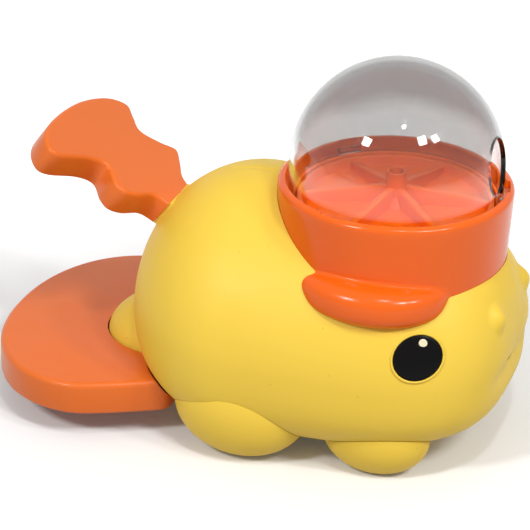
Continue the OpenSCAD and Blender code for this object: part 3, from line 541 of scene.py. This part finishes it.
for eye_name, mirrored in (("eye_right", mirror_y), ("eye_left", Matrix.Identity(4))):
    section = [(eye_r * s / eye_steps, eye_face(eye_r * s / eye_steps)) for s in range(eye_steps)]
    section[-1] = (eye_r - eye_edge, eye_face(eye_r - eye_edge))
    section += [
        (eye_r - eye_edge * 0.3, eye_face(eye_r) - eye_edge * 0.25), (eye_r, eye_face(eye_r) - eye_edge),
        (eye_r, -eye_depth), (0, -eye_depth),
    ]
    bm = turned(section, 96, closed=False)
    bmesh.ops.scale(bm, vec=(1, eye_h / eye_l, 1), verts=bm.verts)
    bmesh.ops.transform(bm, matrix=mirrored @ eye_place, verts=bm.verts)
    bmesh.ops.recalc_face_normals(bm, faces=bm.faces)
    eye = new_piece(bm, eye_name.replace("eye", "eye_disc"))
    finish(eye, "body", eye_name, black_gloss)

    spot_low = eye_face(spot_at.length) - spot_sink
    spot_top = eye_face(spot_at.length) + spot_rise
    section = [
        (0, spot_top - spot_dip), (spot_r * 0.34, spot_top - spot_dip), (spot_r * 0.46, spot_top),
        (spot_r * 0.85, spot_top - 0.01 * mm), (spot_r, spot_top - 0.1 * mm),
        (spot_r, spot_low), (0, spot_low),
    ]
    bm = turned(section, 48, closed=False)
    bmesh.ops.translate(bm, vec=(spot_at.x, spot_at.y, 0), verts=bm.verts)
    bmesh.ops.transform(bm, matrix=mirrored @ eye_place, verts=bm.verts)
    bmesh.ops.recalc_face_normals(bm, faces=bm.faces)
    spot = new_piece(bm, eye_name.replace("eye", "eye_spot"))
    finish(spot, "body", None, white_spot)


# Tail: a two-tier paddle of satin orange plastic that rises behind the rump, held by a tongue in the shells.
# It is one outline, given in millimetres along and across, drawn up to its thickness with eased edges.
tail_form = [
    (0, -11.5), (7, -14), (12.5, -23), (18, -27.5), (23.5, -26), (30, -20.5), (37, -25), (46, -38),
    (52, -40.5), (58.5, -33), (60.5, -17), (58.5, 4), (52, 21), (43.5, 28), (37, 23.5), (31, 19),
    (22, 22.5), (14, 27), (8.5, 21), (4, 14), (0, 11.5),
]
tail_base = 0.5 * mm
tail_crown = 1.8 * mm
tail_back = 1 * mm
crown_steps = 7
flat_margin = 0.4 * mm
tongue_root = 1 * mm
satin_orange = moulded_plastic(
    "satin_orange", (0.79, 0.165, 0.022), (0.75, 0.15, 0.018), rough=0.32, rough_swing=0.04,
    grain=0.06, grain_scale=1600, sheen=0.28,
)


def smooth_row(points, steps):
    """A smooth open row of points through a few places."""
    row = []
    last = len(points) - 1
    for i in range(last):
        a, b, c, d = (Vector(points[max(0, min(last, k))]) for k in (i - 1, i, i + 1, i + 2))
        for s in range(steps):
            t = s / steps
            row.append(0.5 * (
                2 * b + (c - a) * t + (2 * a - 5 * b + 4 * c - d) * t**2
                + (3 * b - a - 3 * c + d) * t**3
            ))
    return row + [Vector(points[last])]


def drawn_in(points, distance):
    """An open row of points moved inwards, with its two ends kept on the neck's face."""
    last = len(points) - 1
    moved = []
    for i, p in enumerate(points):
        ahead = points[min(i + 1, last)] - points[max(i - 1, 0)]
        inward = Vector((-ahead.y, ahead.x)).normalized()
        if i in (0, last):
            inward = Vector((0, 1 if i == 0 else -1))
        q = p + inward * distance
        moved.append(Vector((max(q.x, tail_base), q.y)))
    return moved


def add_rings(bm, rings):
    """A closed form through a row of rings, with a flat cap at either end."""
    rows = [[bm.verts.new(p) for p in ring] for ring in rings]
    for low, high in zip(rows, rows[1:]):
        for i in range(len(low)):
            j = (i + 1) % len(low)
            bm.faces.new((low[i], low[j], high[j], high[i]))
    caps = [bm.faces.new(rows[0]), bm.faces.new(rows[-1])]
    for cap in caps:
        cap.normal_update()
    bmesh.ops.triangulate(bm, faces=caps)
    bmesh.ops.recalc_face_normals(bm, faces=bm.faces)


outline = [Vector((p.x * mm + tail_base, p.y * mm)) for p in smooth_row(tail_form, 10)]
levels = [(tail_crown + flat_margin, 0)]
for k in range(crown_steps + 1):
    a = math.radians(90 * k / crown_steps)
    levels.append((tail_crown * (1 - math.sin(a)), tail_crown * (1 - math.cos(a))))
levels += [(0, tail_t - tail_back), (0.3 * tail_back, tail_t - 0.3 * tail_back), (tail_back, tail_t)]
levels.append((tail_back + flat_margin, tail_t))
bm = bmesh.new()
add_rings(bm, [[(p.x, p.y, z) for p in drawn_in(outline, distance)] for distance, z in levels])
add_block(
    bm, (-tongue_in, -tongue_w / 2, tail_middle - tongue_t / 2),
    (tail_base + tongue_root, tongue_w / 2, tail_middle + tongue_t / 2),
)
bmesh.ops.transform(bm, matrix=tail_place, verts=bm.verts)
tail = new_piece(bm, "tail_paddle")
finish(tail, "body", "tail", satin_orange, 40)


# Cap ring: a glossy orange ring set into the back, with the turntable's bowl and an ear lobe on either flank.
# It is turned from its section, the lobes are drawn out of its wall, and notches take the dome.
def softened(points, radius, steps=3):
    """A closed outline with its corners eased."""
    row = []
    for i, p in enumerate(points):
        p, before, after = Vector(p), Vector(points[i - 1]), Vector(points[(i + 1) % len(points)])
        a = p + (before - p).normalized() * min(radius, (before - p).length * 0.45)
        b = p + (after - p).normalized() * min(radius, (after - p).length * 0.45)
        for s in range(steps + 1):
            t = s / steps
            row.append(a * (1 - t) ** 2 + p * 2 * t * (1 - t) + b * t**2)
    return row


cap_r = 49.5 * mm
cap_in = 46 * mm
seat_z = 110 * mm
floor_z = 102 * mm
bowl_low = floor_z - 3 * mm
bowl_r = 42 * mm
bush_r = 4.65 * mm
bush_wall_r = 9 * mm
bush_low = floor_z - 12 * mm
skirt_in = 43.8 * mm
lobe_mid_z = 81.5 * mm
lobe_half_h = 9 * mm
lobe_out = 11 * mm
lobe_sink = 2 * mm
lobe_fullness = 0.78
lobe_angle = math.radians(85)
lobe_half = math.radians(42)
lobe_rear_power = 0.42
lobe_front_power = 0.75
lobe_tip = 0.3
lobe_tip_power = 2.6
lobe_tip_round = 0.6
lobe_tilt = 1 * mm
lobe_fillet = 1.6 * mm
band_half = 11 * mm
band_edge = band_half / lobe_half_h
margin_rows = 7
lobe_rows = 40
gloss_orange = moulded_plastic(
    "gloss_orange", (0.85, 0.128, 0.005), (0.81, 0.116, 0.004), rough=0.2, rough_swing=0.03,
    grain=0.015, grain_scale=1100, sheen=0.27,
)

inside = softened(
    [(bush_r, floor_z), (bowl_r, floor_z), (bowl_r, seat_z), (cap_in, seat_z), (cap_in, rim_z - 1 * mm)],
    0.5 * mm,
)[2:-2]
rim_arc = [
    (cap_r - rim_edge + rim_edge * math.cos(a), rim_z - rim_edge + rim_edge * math.sin(a))
    for a in map(math.radians, range(90, -1, -15))
]
wall_z = [108 * mm, 101 * mm, 96 * mm]
band = [1 + (band_edge - 1) * s / margin_rows for s in range(margin_rows, 0, -1)]
band += [math.sin(math.radians(90 - 180 / lobe_rows * s)) for s in range(lobe_rows + 1)]
band += [-w for w in reversed(band[:margin_rows])]
wall_z += [lobe_mid_z + lobe_half_h * w for w in band]
outside = [(cap_wall_r(z), z) for z in wall_z]
below = [
    (cap_foot_r, deck_z), (skirt_in, deck_z), (skirt_in, bowl_low), (bush_wall_r, bowl_low),
    (bush_wall_r, bush_low), (bush_r, bush_low),
]
section = [tuple(p) for p in inside] + [(cap_in, rim_z - 0.7 * mm), (cap_in + 0.25 * mm, rim_z - 0.2 * mm)]
section += [(cap_in + 0.7 * mm, rim_z)] + rim_arc + outside + below
bm = turned(section, 180)
for v in bm.verts:
    r = math.hypot(v.co.x, v.co.y)
    w = (v.co.z - lobe_mid_z) / lobe_half_h
    if abs(r - cap_wall_r(v.co.z)) > 1e-6 or abs(v.co.z - lobe_mid_z) > band_half + 1e-6:
        continue
    around = (abs(math.atan2(v.co.y, v.co.x)) - lobe_angle) / lobe_half
    if abs(around) >= 1:
        continue
    size = (1 - around**2) ** (lobe_rear_power if around > 0 else lobe_front_power)
    tall = lobe_tip + (1 - lobe_tip) * (1 - abs(around) ** lobe_tip_power) ** lobe_tip_round
    held = max(-1, min(1, w))
    lean = held * math.pi / 2
    beyond = abs(w - held) / (band_edge - 1)
    rise = math.copysign(tall * abs(math.sin(lean)) ** lobe_fullness + beyond * (band_edge - tall), w)
    tilt = lobe_tilt * around * size * (1 - beyond)
    z = lobe_mid_z + lobe_half_h * rise + tilt
    out = cap_wall_r(lobe_mid_z) - lobe_sink + (lobe_out + lobe_sink) * size * math.cos(lean) ** lobe_fullness
    out = max(cap_wall_r(z), out)
    soft = lobe_fillet * min(1, 2 * size)
    above = z - lobe_mid_z - lobe_half_h * tall - tilt
    over = out - cap_wall_r(z)
    walk = soft + over if over > 0 else soft - max(0, above)
    if w > 0.5 and 0 < walk < 2 * soft:
        bend = math.pi / 4 * walk / soft
        out = cap_wall_r(z) + soft * (1 - math.cos(bend))
        z += soft * (1 - math.sin(bend)) - max(0, above)
    v.co = (v.co.x / r * out, v.co.y / r * out, z)
bmesh.ops.translate(bm, vec=(cap_x, 0, 0), verts=bm.verts)
ring = new_piece(bm, "ring")
rounding = ring.modifiers.new("rounding", "SUBSURF")
rounding.levels = rounding.render_levels = 1
settle(ring)

# The body is cut out of the lobes, but not out of the wall that stands in the well
core_low = 50 * mm
core_high = 126 * mm
core_gap = 0.25 * mm
body_tool = new_piece(body_skin(2 * fit_gap), "body_tool")
bm = bmesh.new()
add_rod(
    bm, (cap_x, 0, core_low), (cap_x, 0, core_high),
    cap_wall_r(core_low) + core_gap, cap_wall_r(core_high) + core_gap, 180,
)
carve(body_tool, new_piece(bm, "well_tool"))
carve(ring, body_tool)

# Three notches for the dome's tabs, each running on as a lock under the rim, and a gate for the rack
notch_r = 47.6 * mm
notch_low = 110 * mm
notch_half = math.radians(7)
lock_from = math.radians(6)
lock_sweep = math.radians(13)
lock_h = 2.9 * mm
gate_low = (cap_x - cap_r, 2.4 * mm, 68 * mm)
gate_high = (cap_x - cap_r + 9 * mm, 16.6 * mm, 78.6 * mm)
tab_angles = [math.radians(-107 + 120 * k) for k in range(3)]


def add_ring_block(bm, r_in, r_out, low, high, start, sweep):
    """A block that is part of a ring round the dome's axis."""
    verts = [bm.verts.new((r, 0, z)) for r, z in ((r_in, low), (r_out, low), (r_out, high), (r_in, high))]
    face = bm.faces.new(verts)
    bmesh.ops.rotate(bm, cent=(0, 0, 0), matrix=Matrix.Rotation(start, 3, "Z"), verts=verts)
    bmesh.ops.spin(bm, geom=[face], cent=(0, 0, 0), axis=(0, 0, 1), dvec=(0, 0, 0), angle=sweep, steps=10)


bm = bmesh.new()
for angle in tab_angles:
    add_ring_block(
        bm, cap_in - 1 * mm, notch_r, notch_low, rim_z + 1 * mm, angle - notch_half, 2 * notch_half
    )
bmesh.ops.translate(bm, vec=(cap_x, 0, 0), verts=bm.verts)
add_block(bm, gate_low, gate_high)
bmesh.ops.recalc_face_normals(bm, faces=bm.faces)
carve(ring, new_piece(bm, "notch_tool"))
bm = bmesh.new()
for angle in tab_angles:
    add_ring_block(
        bm, cap_in - 0.9 * mm, notch_r - 0.05 * mm, notch_low + 0.02 * mm, notch_low + lock_h,
        angle + lock_from, lock_sweep,
    )
bmesh.ops.translate(bm, vec=(cap_x, 0, 0), verts=bm.verts)
bmesh.ops.recalc_face_normals(bm, faces=bm.faces)
carve(ring, new_piece(bm, "lock_tool"))
finish(ring, "body", "cap_ring", gloss_orange)


# Turntable: an orange dish under the dome, with a low rim, a hollow-topped hub post and six sloping arms.
# It is moulded in one piece and screwed to the shaft through the hub.
table_r = 41.3 * mm
table_z = 103 * mm
table_top = 105.5 * mm
table_rim = 109.6 * mm
hub_r = 4.35 * mm
hub_hollow_r = hub_r - 1.3 * mm
hub_foot_r = hub_r + 2 * mm
hub_low = 102.1 * mm
hub_top = 120 * mm
shaft_hole_r = 2.53 * mm
screw_way_r = 1.25 * mm
web_low = 112.1 * mm
web_top = 113.5 * mm
arm_t = 3 * mm
arm_low = 104 * mm
arm_end_z = 108.5 * mm
arm_root = hub_r - 0.6 * mm
arm_tip = table_r - 1.2 * mm
arm_count = 6
arm_turn = math.radians(15)
section = softened(
    [
        (shaft_hole_r, hub_low), (shaft_hole_r, web_low), (screw_way_r, web_low), (screw_way_r, web_top),
        (hub_hollow_r, web_top), (hub_hollow_r, hub_top), (hub_r, hub_top), (hub_r, table_top + 4 * mm),
        (hub_r + 3 * mm, table_top), (table_r - 3.5 * mm, table_top), (table_r - 2 * mm, table_rim),
        (table_r, table_rim), (table_r, table_z), (hub_foot_r, table_z), (hub_foot_r, hub_low),
    ],
    0.6 * mm,
)
table = new_piece(turned(section, 144), "dish")
side_form = [
    (arm_root, arm_low), (arm_tip, arm_low), (arm_tip, arm_end_z), (hub_foot_r, web_top), (arm_root, web_top)
]
bm = bmesh.new()
arm = bm.faces.new([bm.verts.new((x, -arm_t / 2, z)) for x, z in side_form])
grown = bmesh.ops.extrude_face_region(bm, geom=[arm])
bmesh.ops.translate(bm, vec=(0, arm_t, 0), verts=verts_of(grown))
bmesh.ops.recalc_face_normals(bm, faces=bm.faces)
edges = [
    e for e in bm.edges
    if all(v.co.z > table_top + 1.5 * mm for v in e.verts) and abs(e.verts[0].co.y - e.verts[1].co.y) < 1e-6
]
bmesh.ops.bevel(
    bm, geom=edges, offset=0.8 * mm, offset_type="OFFSET", affect="EDGES", segments=3, profile=0.5,
    material=-1,
)
bmesh.ops.rotate(bm, cent=(0, 0, 0), matrix=Matrix.Rotation(arm_turn, 3, "Z"), verts=bm.verts)
one_arm = all_of(bm)
for k in range(1, arm_count):
    copy = bmesh.ops.duplicate(bm, geom=one_arm)
    swing = Matrix.Rotation(2 * math.pi * k / arm_count, 3, "Z")
    bmesh.ops.rotate(bm, cent=(0, 0, 0), matrix=swing, verts=verts_of(copy))
carve(table, new_piece(bm, "arms"), "UNION")
table.data.transform(Matrix.Translation((cap_x, 0, 0)))
finish(table, "rotor", "turntable", gloss_orange, 32)


# Dome: a clear, polished plastic dome with a straight neck, a round outlet in front and three foot tabs.
# It is blown as one wall, and the tabs drop into the ring's notches and turn under its rim.
dome_r = 45 * mm
dome_t = 2 * mm
dome_in = dome_r - dome_t
dome_z = 123 * mm
dome_low = 110.1 * mm
foot_ease = 0.3 * mm
outlet_r = 12 * mm
outlet_z = 128.5 * mm
outlet_from = cap_x + 20 * mm
outlet_to = cap_x + 55 * mm
tab_out = 2.2 * mm
tab_top = 112.6 * mm
tab_half = math.radians(6)
dome_steps = 30
quarter = [math.radians(90 * s / dome_steps) for s in range(dome_steps + 1)]
section = [(dome_r * math.sin(a), dome_z + dome_r * math.cos(a)) for a in quarter]
section += [(dome_r, z) for z in (119 * mm, 115.5 * mm, tab_top, dome_low + foot_ease)]
section += [(dome_r - foot_ease, dome_low), (dome_in + foot_ease, dome_low)]
section += [(dome_in, z) for z in (dome_low + foot_ease, 116 * mm)]
section += [(dome_in * math.sin(a), dome_z + dome_in * math.cos(a)) for a in reversed(quarter)]
bm = turned(section, 144, closed=False)
for angle in tab_angles:
    tab_faces = []
    for face in bm.faces:
        c = face.calc_center_median()
        swing = (math.atan2(c.y, c.x) - angle + math.pi) % (2 * math.pi) - math.pi
        at_foot = dome_low + foot_ease < c.z < tab_top and c.xy.length > dome_r - 0.1 * mm
        if abs(swing) < tab_half and at_foot:
            tab_faces.append(face)
    grown = bmesh.ops.extrude_face_region(bm, geom=tab_faces)
    for v in verts_of(grown):
        v.co.xy *= (dome_r + tab_out) / dome_r
    bmesh.ops.delete(bm, geom=tab_faces, context="FACES")
bmesh.ops.translate(bm, vec=(cap_x, 0, 0), verts=bm.verts)
dome = new_piece(bm, "clear_dome")
bm = bmesh.new()
add_rod(bm, (outlet_from, 0, outlet_z), (outlet_to, 0, outlet_z), outlet_r, segments=96)
carve(dome, new_piece(bm, "outlet_tool"))

# The plastic is darker above a wavering line, a painted reflection of a dark room overhead, and lets most of
# the light through to the dish
clear_tint = (0.86, 0.865, 0.855)
painted_reflection_tint = (0.47, 0.465, 0.46)
painted_reflection_from = 0.133
painted_reflection_full = 0.147
painted_reflection_waver = 0.012
clear_plastic = bpy.data.materials.new("clear_plastic")
clear_plastic.use_nodes = True
tree = clear_plastic.node_tree
shader = tree.nodes["Principled BSDF"]
shader.inputs["Transmission Weight"].default_value = 1.0
shader.inputs["IOR"].default_value = 1.49
place = tree.nodes.new("ShaderNodeTexCoord")
height = tree.nodes.new("ShaderNodeSeparateXYZ")
tree.links.new(place.outputs["Object"], height.inputs["Vector"])
wave = tree.nodes.new("ShaderNodeMath")
wave.operation = "MULTIPLY_ADD"
wave.inputs[1].default_value = painted_reflection_waver
tree.links.new(object_noise(tree, place, scale=26, detail=3), wave.inputs[0])
tree.links.new(height.outputs["Z"], wave.inputs[2])
# Painted reflection: above the wavering line the dome's colour is mixed towards a dark grey
painted_reflection_share = ranged(tree, wave.outputs["Value"], painted_reflection_from, painted_reflection_full, low=0, high=1, kind="SMOOTHSTEP")
tree.links.new(mixed(tree, painted_reflection_share, clear_tint, painted_reflection_tint), shader.inputs["Base Color"])
haze = object_noise(tree, place, scale=60, detail=5)
polish = ranged(tree, haze, start=0.35, end=0.75, low=0.012, high=0.05)
tree.links.new(polish, shader.inputs["Roughness"])
flow = object_noise(tree, place, scale=30)
tree.links.new(bumped(tree, flow, strength=0.03, distance=1 * mm), shader.inputs["Normal"])
path = tree.nodes.new("ShaderNodeLightPath")
passing = ranged(tree, path.outputs["Is Shadow Ray"], start=0, end=1, low=1.0, high=0.3)
tree.links.new(passing, shader.inputs["Alpha"])
finish(dome, "dome", "dome", clear_plastic, 40)


# Pedal: a wide hollow paddle of satin orange plastic behind the rump, with its upper edge a little rounded.
# It is notched for the body and its nub, and screwed to the lever from below.
pedal_rear = -114.75 * mm
pedal_round = 50 * mm
pedal_half_w = 65.47 * mm
pedal_power = 2.15
pedal_narrowing = 0.62
pedal_ease = 15 * mm
pedal_front = -24.25 * mm
pedal_top = 27.5 * mm
pedal_low = 13 * mm
pedal_t = 2.4 * mm
pedal_gap = 1.2 * mm
pedal_slit = 0.75 * mm
pedal_edge = 2.4 * mm
pedal_low_edge = 1.2 * mm
pedal_corner = 3.5 * mm
corner_steps = 6
hollow_below = 4 * mm
lever_gate_low = (-69.3 * mm, -11.4 * mm, 12 * mm)
lever_gate_high = (-16 * mm, 11.4 * mm, 21.35 * mm)


def pedal_half(x):
    """Half width of the pedal: a rounded end, then a gentle narrowing towards the body."""
    ahead = x - pedal_rear - pedal_round
    if ahead < 0:
        return pedal_half_w * max(0, 1 - (-ahead / pedal_round) ** pedal_power) ** (1 / pedal_power)
    return pedal_half_w - pedal_narrowing * ahead**2 / (ahead + pedal_ease)


stations = numpy.linspace(pedal_rear, pedal_front - pedal_corner, 3001)
widths = numpy.array([pedal_half(x) for x in stations])
run = even_run(numpy.column_stack([stations, widths]))
steps = numpy.linspace(0, 1, 90)
row = [Vector(p) for p in zip(numpy.interp(steps, run, stations), numpy.interp(steps, run, widths))]
side_end = row[-1]
corner = Vector((pedal_front, pedal_half(pedal_front)))
turn_in = corner - Vector((0, pedal_corner))
for k in range(1, corner_steps + 1):
    t = k / corner_steps
    row.append(side_end * (1 - t) ** 2 + corner * 2 * t * (1 - t) + turn_in * t**2)
outline = [(p.x, -p.y) for p in row] + [(p.x, p.y) for p in reversed(row[1:])]


def drawn_form(points, low, high):
    """An outline drawn up from one height to another."""
    bm = bmesh.new()
    face = bm.faces.new([bm.verts.new((x, y, low)) for x, y in points])
    grown = bmesh.ops.extrude_face_region(bm, geom=[face])
    bmesh.ops.translate(bm, vec=(0, 0, high - low), verts=verts_of(grown))
    bmesh.ops.recalc_face_normals(bm, faces=bm.faces)
    return bm


bm = drawn_form(outline, pedal_low, pedal_top)
for z, offset, count in ((pedal_top, pedal_edge, 7), (pedal_low, pedal_low_edge, 3)):
    edges = [e for e in bm.edges if all(abs(v.co.z - z) < 1e-7 for v in e.verts)]
    bmesh.ops.bevel(
        bm, geom=edges, offset=offset, offset_type="OFFSET", affect="EDGES", segments=count, profile=0.5,
        material=-1, clamp_overlap=False,
    )
pedal = new_piece(bm, "pedal_paddle")
bm = drawn_form(outline, pedal_low - hollow_below, pedal_top - pedal_t)
for v in bm.verts:
    outward = sum((f.normal for f in v.link_faces if abs(f.normal.z) < 0.5), Vector())
    v.co -= outward.normalized() * pedal_edge
hollow = new_piece(bm, "hollow")
carve(hollow, new_piece(body_skin(pedal_gap + pedal_t, 120, 90), "front_wall"))
carve(pedal, hollow)
carve(pedal, new_piece(body_skin(pedal_slit, 140, 104), "body_tool"))
bm = rounded_lump(nub_at, nub_size + Vector((1, 1, 1)) * pedal_slit, around=72, up=48)
carve(pedal, new_piece(bm, "nub_tool"))
bm = bmesh.new()
add_block(bm, lever_gate_low, lever_gate_high)
carve(pedal, new_piece(bm, "lever_gate"))
finish(pedal, "pedal", "pedal_cover", satin_orange)


# Return spring: a coil of bright steel wire between the lever's spring arm and the deck, seven turns.
# It is pushed together from below as the pedal goes down.
spring_x = 13.75 * mm
spring_low = 24 * mm
spring_high = 50 * mm
spring_r = 5.4 * mm
wire_r = 0.6 * mm
seat_gap = 0.1 * mm
turns = 7
steps_a_turn = 28
bm = bmesh.new()
bmesh.ops.create_circle(bm, cap_ends=False, segments=10, radius=wire_r, matrix=upright)
bmesh.ops.translate(bm, vec=(spring_r, 0, spring_low + wire_r + seat_gap), verts=bm.verts)
climb = (spring_high - spring_low - 2 * wire_r - 2 * seat_gap) / (turns * steps_a_turn)
bmesh.ops.spin(
    bm, geom=bm.verts[:] + bm.edges[:], cent=(0, 0, 0), axis=(0, 0, 1), dvec=(0, 0, climb),
    angle=2 * math.pi * turns, steps=turns * steps_a_turn, use_merge=False,
)
bmesh.ops.holes_fill(bm, edges=[e for e in bm.edges if e.is_boundary], sides=0)
bmesh.ops.recalc_face_normals(bm, faces=bm.faces)
bmesh.ops.translate(bm, vec=(spring_x, 0, 0), verts=bm.verts)
spring = new_piece(bm, "coil")


def bright_steel(name, colour, rough):
    """Bright drawn steel with fine uneven polish."""
    made = bpy.data.materials.new(name)
    made.use_nodes = True
    tree = made.node_tree
    shader = tree.nodes["Principled BSDF"]
    shader.inputs["Base Color"].default_value = (*colour, 1)
    shader.inputs["Metallic"].default_value = 1.0
    place = tree.nodes.new("ShaderNodeTexCoord")
    drawn = object_noise(tree, place, scale=700, detail=4)
    polish = ranged(tree, drawn, start=0, end=1, low=rough - 0.08, high=rough + 0.1)
    tree.links.new(polish, shader.inputs["Roughness"])
    return made


steel = bright_steel("steel", (0.62, 0.62, 0.63), 0.3)
finish(spring, "body", "return_spring", steel, 45)
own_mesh(spring)


# Works inside the body: lever, rack, pinion, deck and bush of natural plastic; steel shaft, pin and screws.
# They keep their solids and get their own finishes; rubber pads stand under the feet and the pedal.
natural_plastic = moulded_plastic(
    "natural_plastic", (0.75, 0.73, 0.66), (0.7, 0.67, 0.59), rough=0.45, rough_swing=0.06,
    grain=0.1, grain_scale=1300,
)
pad_rubber = moulded_plastic(
    "pad_rubber", (0.022, 0.022, 0.024), (0.03, 0.03, 0.032), rough=0.75, rough_swing=0.08,
    grain=0.3, grain_scale=900,
)
works = {
    steel: (
        "rotor_shaft", "rotor_screw", "pivot_pin", "body_screws", "deck_screws", "cap_screws", "pedal_screws"
    ),
    natural_plastic: ("rotor_pinion", "rotor_bush", "gear_deck", "drive_rack", "pedal_lever"),
    pad_rubber: ("foot_pads", "pedal_pads"),
}
for material, parts in works.items():
    for part in parts:
        cad[part].data.materials.clear()
        cad[part].data.materials.append(material)


# Stage: a pale floor, a white surround that gives more light from above than from the side, and four small
# square lamps that the dome mirrors. The camera stands where the photograph was taken from.
def any_sight(tree):
    """Is 1 where the camera looks straight, in a mirror or through clear plastic, and 0 for light itself."""
    path = tree.nodes.new("ShaderNodeLightPath")
    total = path.outputs["Is Camera Ray"]
    for ray in ("Is Glossy Ray", "Is Transmission Ray"):
        added = tree.nodes.new("ShaderNodeMath")
        added.use_clamp = True
        tree.links.new(total, added.inputs[0])
        tree.links.new(path.outputs[ray], added.inputs[1])
        total = added.outputs["Value"]
    return total


def seen_or_light(tree, light, seen, output):
    """Shows one shader to any sight and gives the light of the other."""
    choose = tree.nodes.new("ShaderNodeMixShader")
    tree.links.new(any_sight(tree), choose.inputs["Fac"])
    tree.links.new(light, choose.inputs[1])
    tree.links.new(seen, choose.inputs[2])
    tree.links.new(choose.outputs["Shader"], tree.nodes[output].inputs["Surface"])


bm = bmesh.new()
bmesh.ops.create_grid(bm, x_segments=1, y_segments=1, size=3)
floor = new_piece(bm, "floor")
floor_finish = bpy.data.materials.new("pale_floor")
floor_finish.use_nodes = True
tree = floor_finish.node_tree
shader = tree.nodes["Principled BSDF"]
shader.inputs["Base Color"].default_value = (0.93, 0.93, 0.93, 1)
shader.inputs["Roughness"].default_value = 0.9
shader.inputs["Emission Color"].default_value = (1, 1, 1, 1)
place = tree.nodes.new("ShaderNodeTexCoord")
away = tree.nodes.new("ShaderNodeVectorMath")
away.operation = "LENGTH"
tree.links.new(place.outputs["Object"], away.inputs[0])
whiter = ranged(tree, away.outputs["Value"], start=0.1, end=0.36, low=0.04, high=0.5, kind="SMOOTHSTEP")
tree.links.new(whiter, shader.inputs["Emission Strength"])
bounce = tree.nodes.new("ShaderNodeBsdfDiffuse")
bounce.inputs["Color"].default_value = (0.52, 0.52, 0.52, 1)
seen_or_light(tree, bounce.outputs["BSDF"], shader.outputs["BSDF"], "Material Output")
floor.data.materials.append(floor_finish)

world = bpy.data.worlds.new("surround")
bpy.context.scene.world = world
world.use_nodes = True
tree = world.node_tree
light = tree.nodes["Background"]
light.inputs["Color"].default_value = (1, 1, 1, 1)
place = tree.nodes.new("ShaderNodeTexCoord")
height = tree.nodes.new("ShaderNodeSeparateXYZ")
tree.links.new(place.outputs["Generated"], height.inputs["Vector"])
sky = ranged(tree, height.outputs["Z"], start=0, end=1, low=0.2, high=0.45)
tree.links.new(sky, light.inputs["Strength"])
seen = tree.nodes.new("ShaderNodeBackground")
seen.inputs["Color"].default_value = (1, 1, 1, 1)
seen.inputs["Strength"].default_value = 1.0
seen_or_light(tree, light.outputs["Background"], seen.outputs["Background"], "World Output")

# Each lamp: its direction from the dome, its size in metres and its power in watts
dome_at = Vector((cap_x, 0, dome_z))
lamp_reach = 1.6
lamps = {
    "lamp_left": ((-0.358, -0.690, 0.629), 0.23, 10.0),
    "lamp_right": ((0.548, -0.451, 0.705), 0.23, 8.2),
    "lamp_far": ((0.698, -0.258, 0.669), 0.19, 5),
    "lamp_top": ((0.204, -0.414, 0.887), 0.10, 4),
}
for name, (towards, size, power) in lamps.items():
    lamp = bpy.data.lights.new(name, "AREA")
    lamp.shape = "SQUARE"
    lamp.size = size
    lamp.energy = power
    stand = bpy.data.objects.new(name, lamp)
    bpy.context.scene.collection.objects.link(stand)
    stand.location = dome_at + Vector(towards) * lamp_reach
    stand.rotation_euler = (dome_at - stand.location).to_track_quat("-Z", "Y").to_euler()

camera_at = Vector((305.43, -897.11, 533.70)) * mm
azimuth, elevation, roll = (math.radians(a) for a in (18.69, 26.30, 1.374))
back = Vector(
    (math.sin(azimuth) * math.cos(elevation), -math.cos(azimuth) * math.cos(elevation), math.sin(elevation))
)
level = Vector((math.cos(azimuth), math.sin(azimuth), 0))
across = level * math.cos(roll) + back.cross(level) * math.sin(roll)
view_turn = Matrix((across, back.cross(across), back)).transposed().to_4x4()
lens = bpy.data.cameras.new("camera")
lens.sensor_width = 36
lens.lens = 165.95
lens.clip_start = 0.05
lens.clip_end = 20
camera = bpy.data.objects.new("camera", lens)
bpy.context.scene.collection.objects.link(camera)
camera.matrix_world = Matrix.Translation(camera_at) @ view_turn
bpy.context.scene.camera = camera
bpy.context.scene.view_settings.view_transform = "Standard"
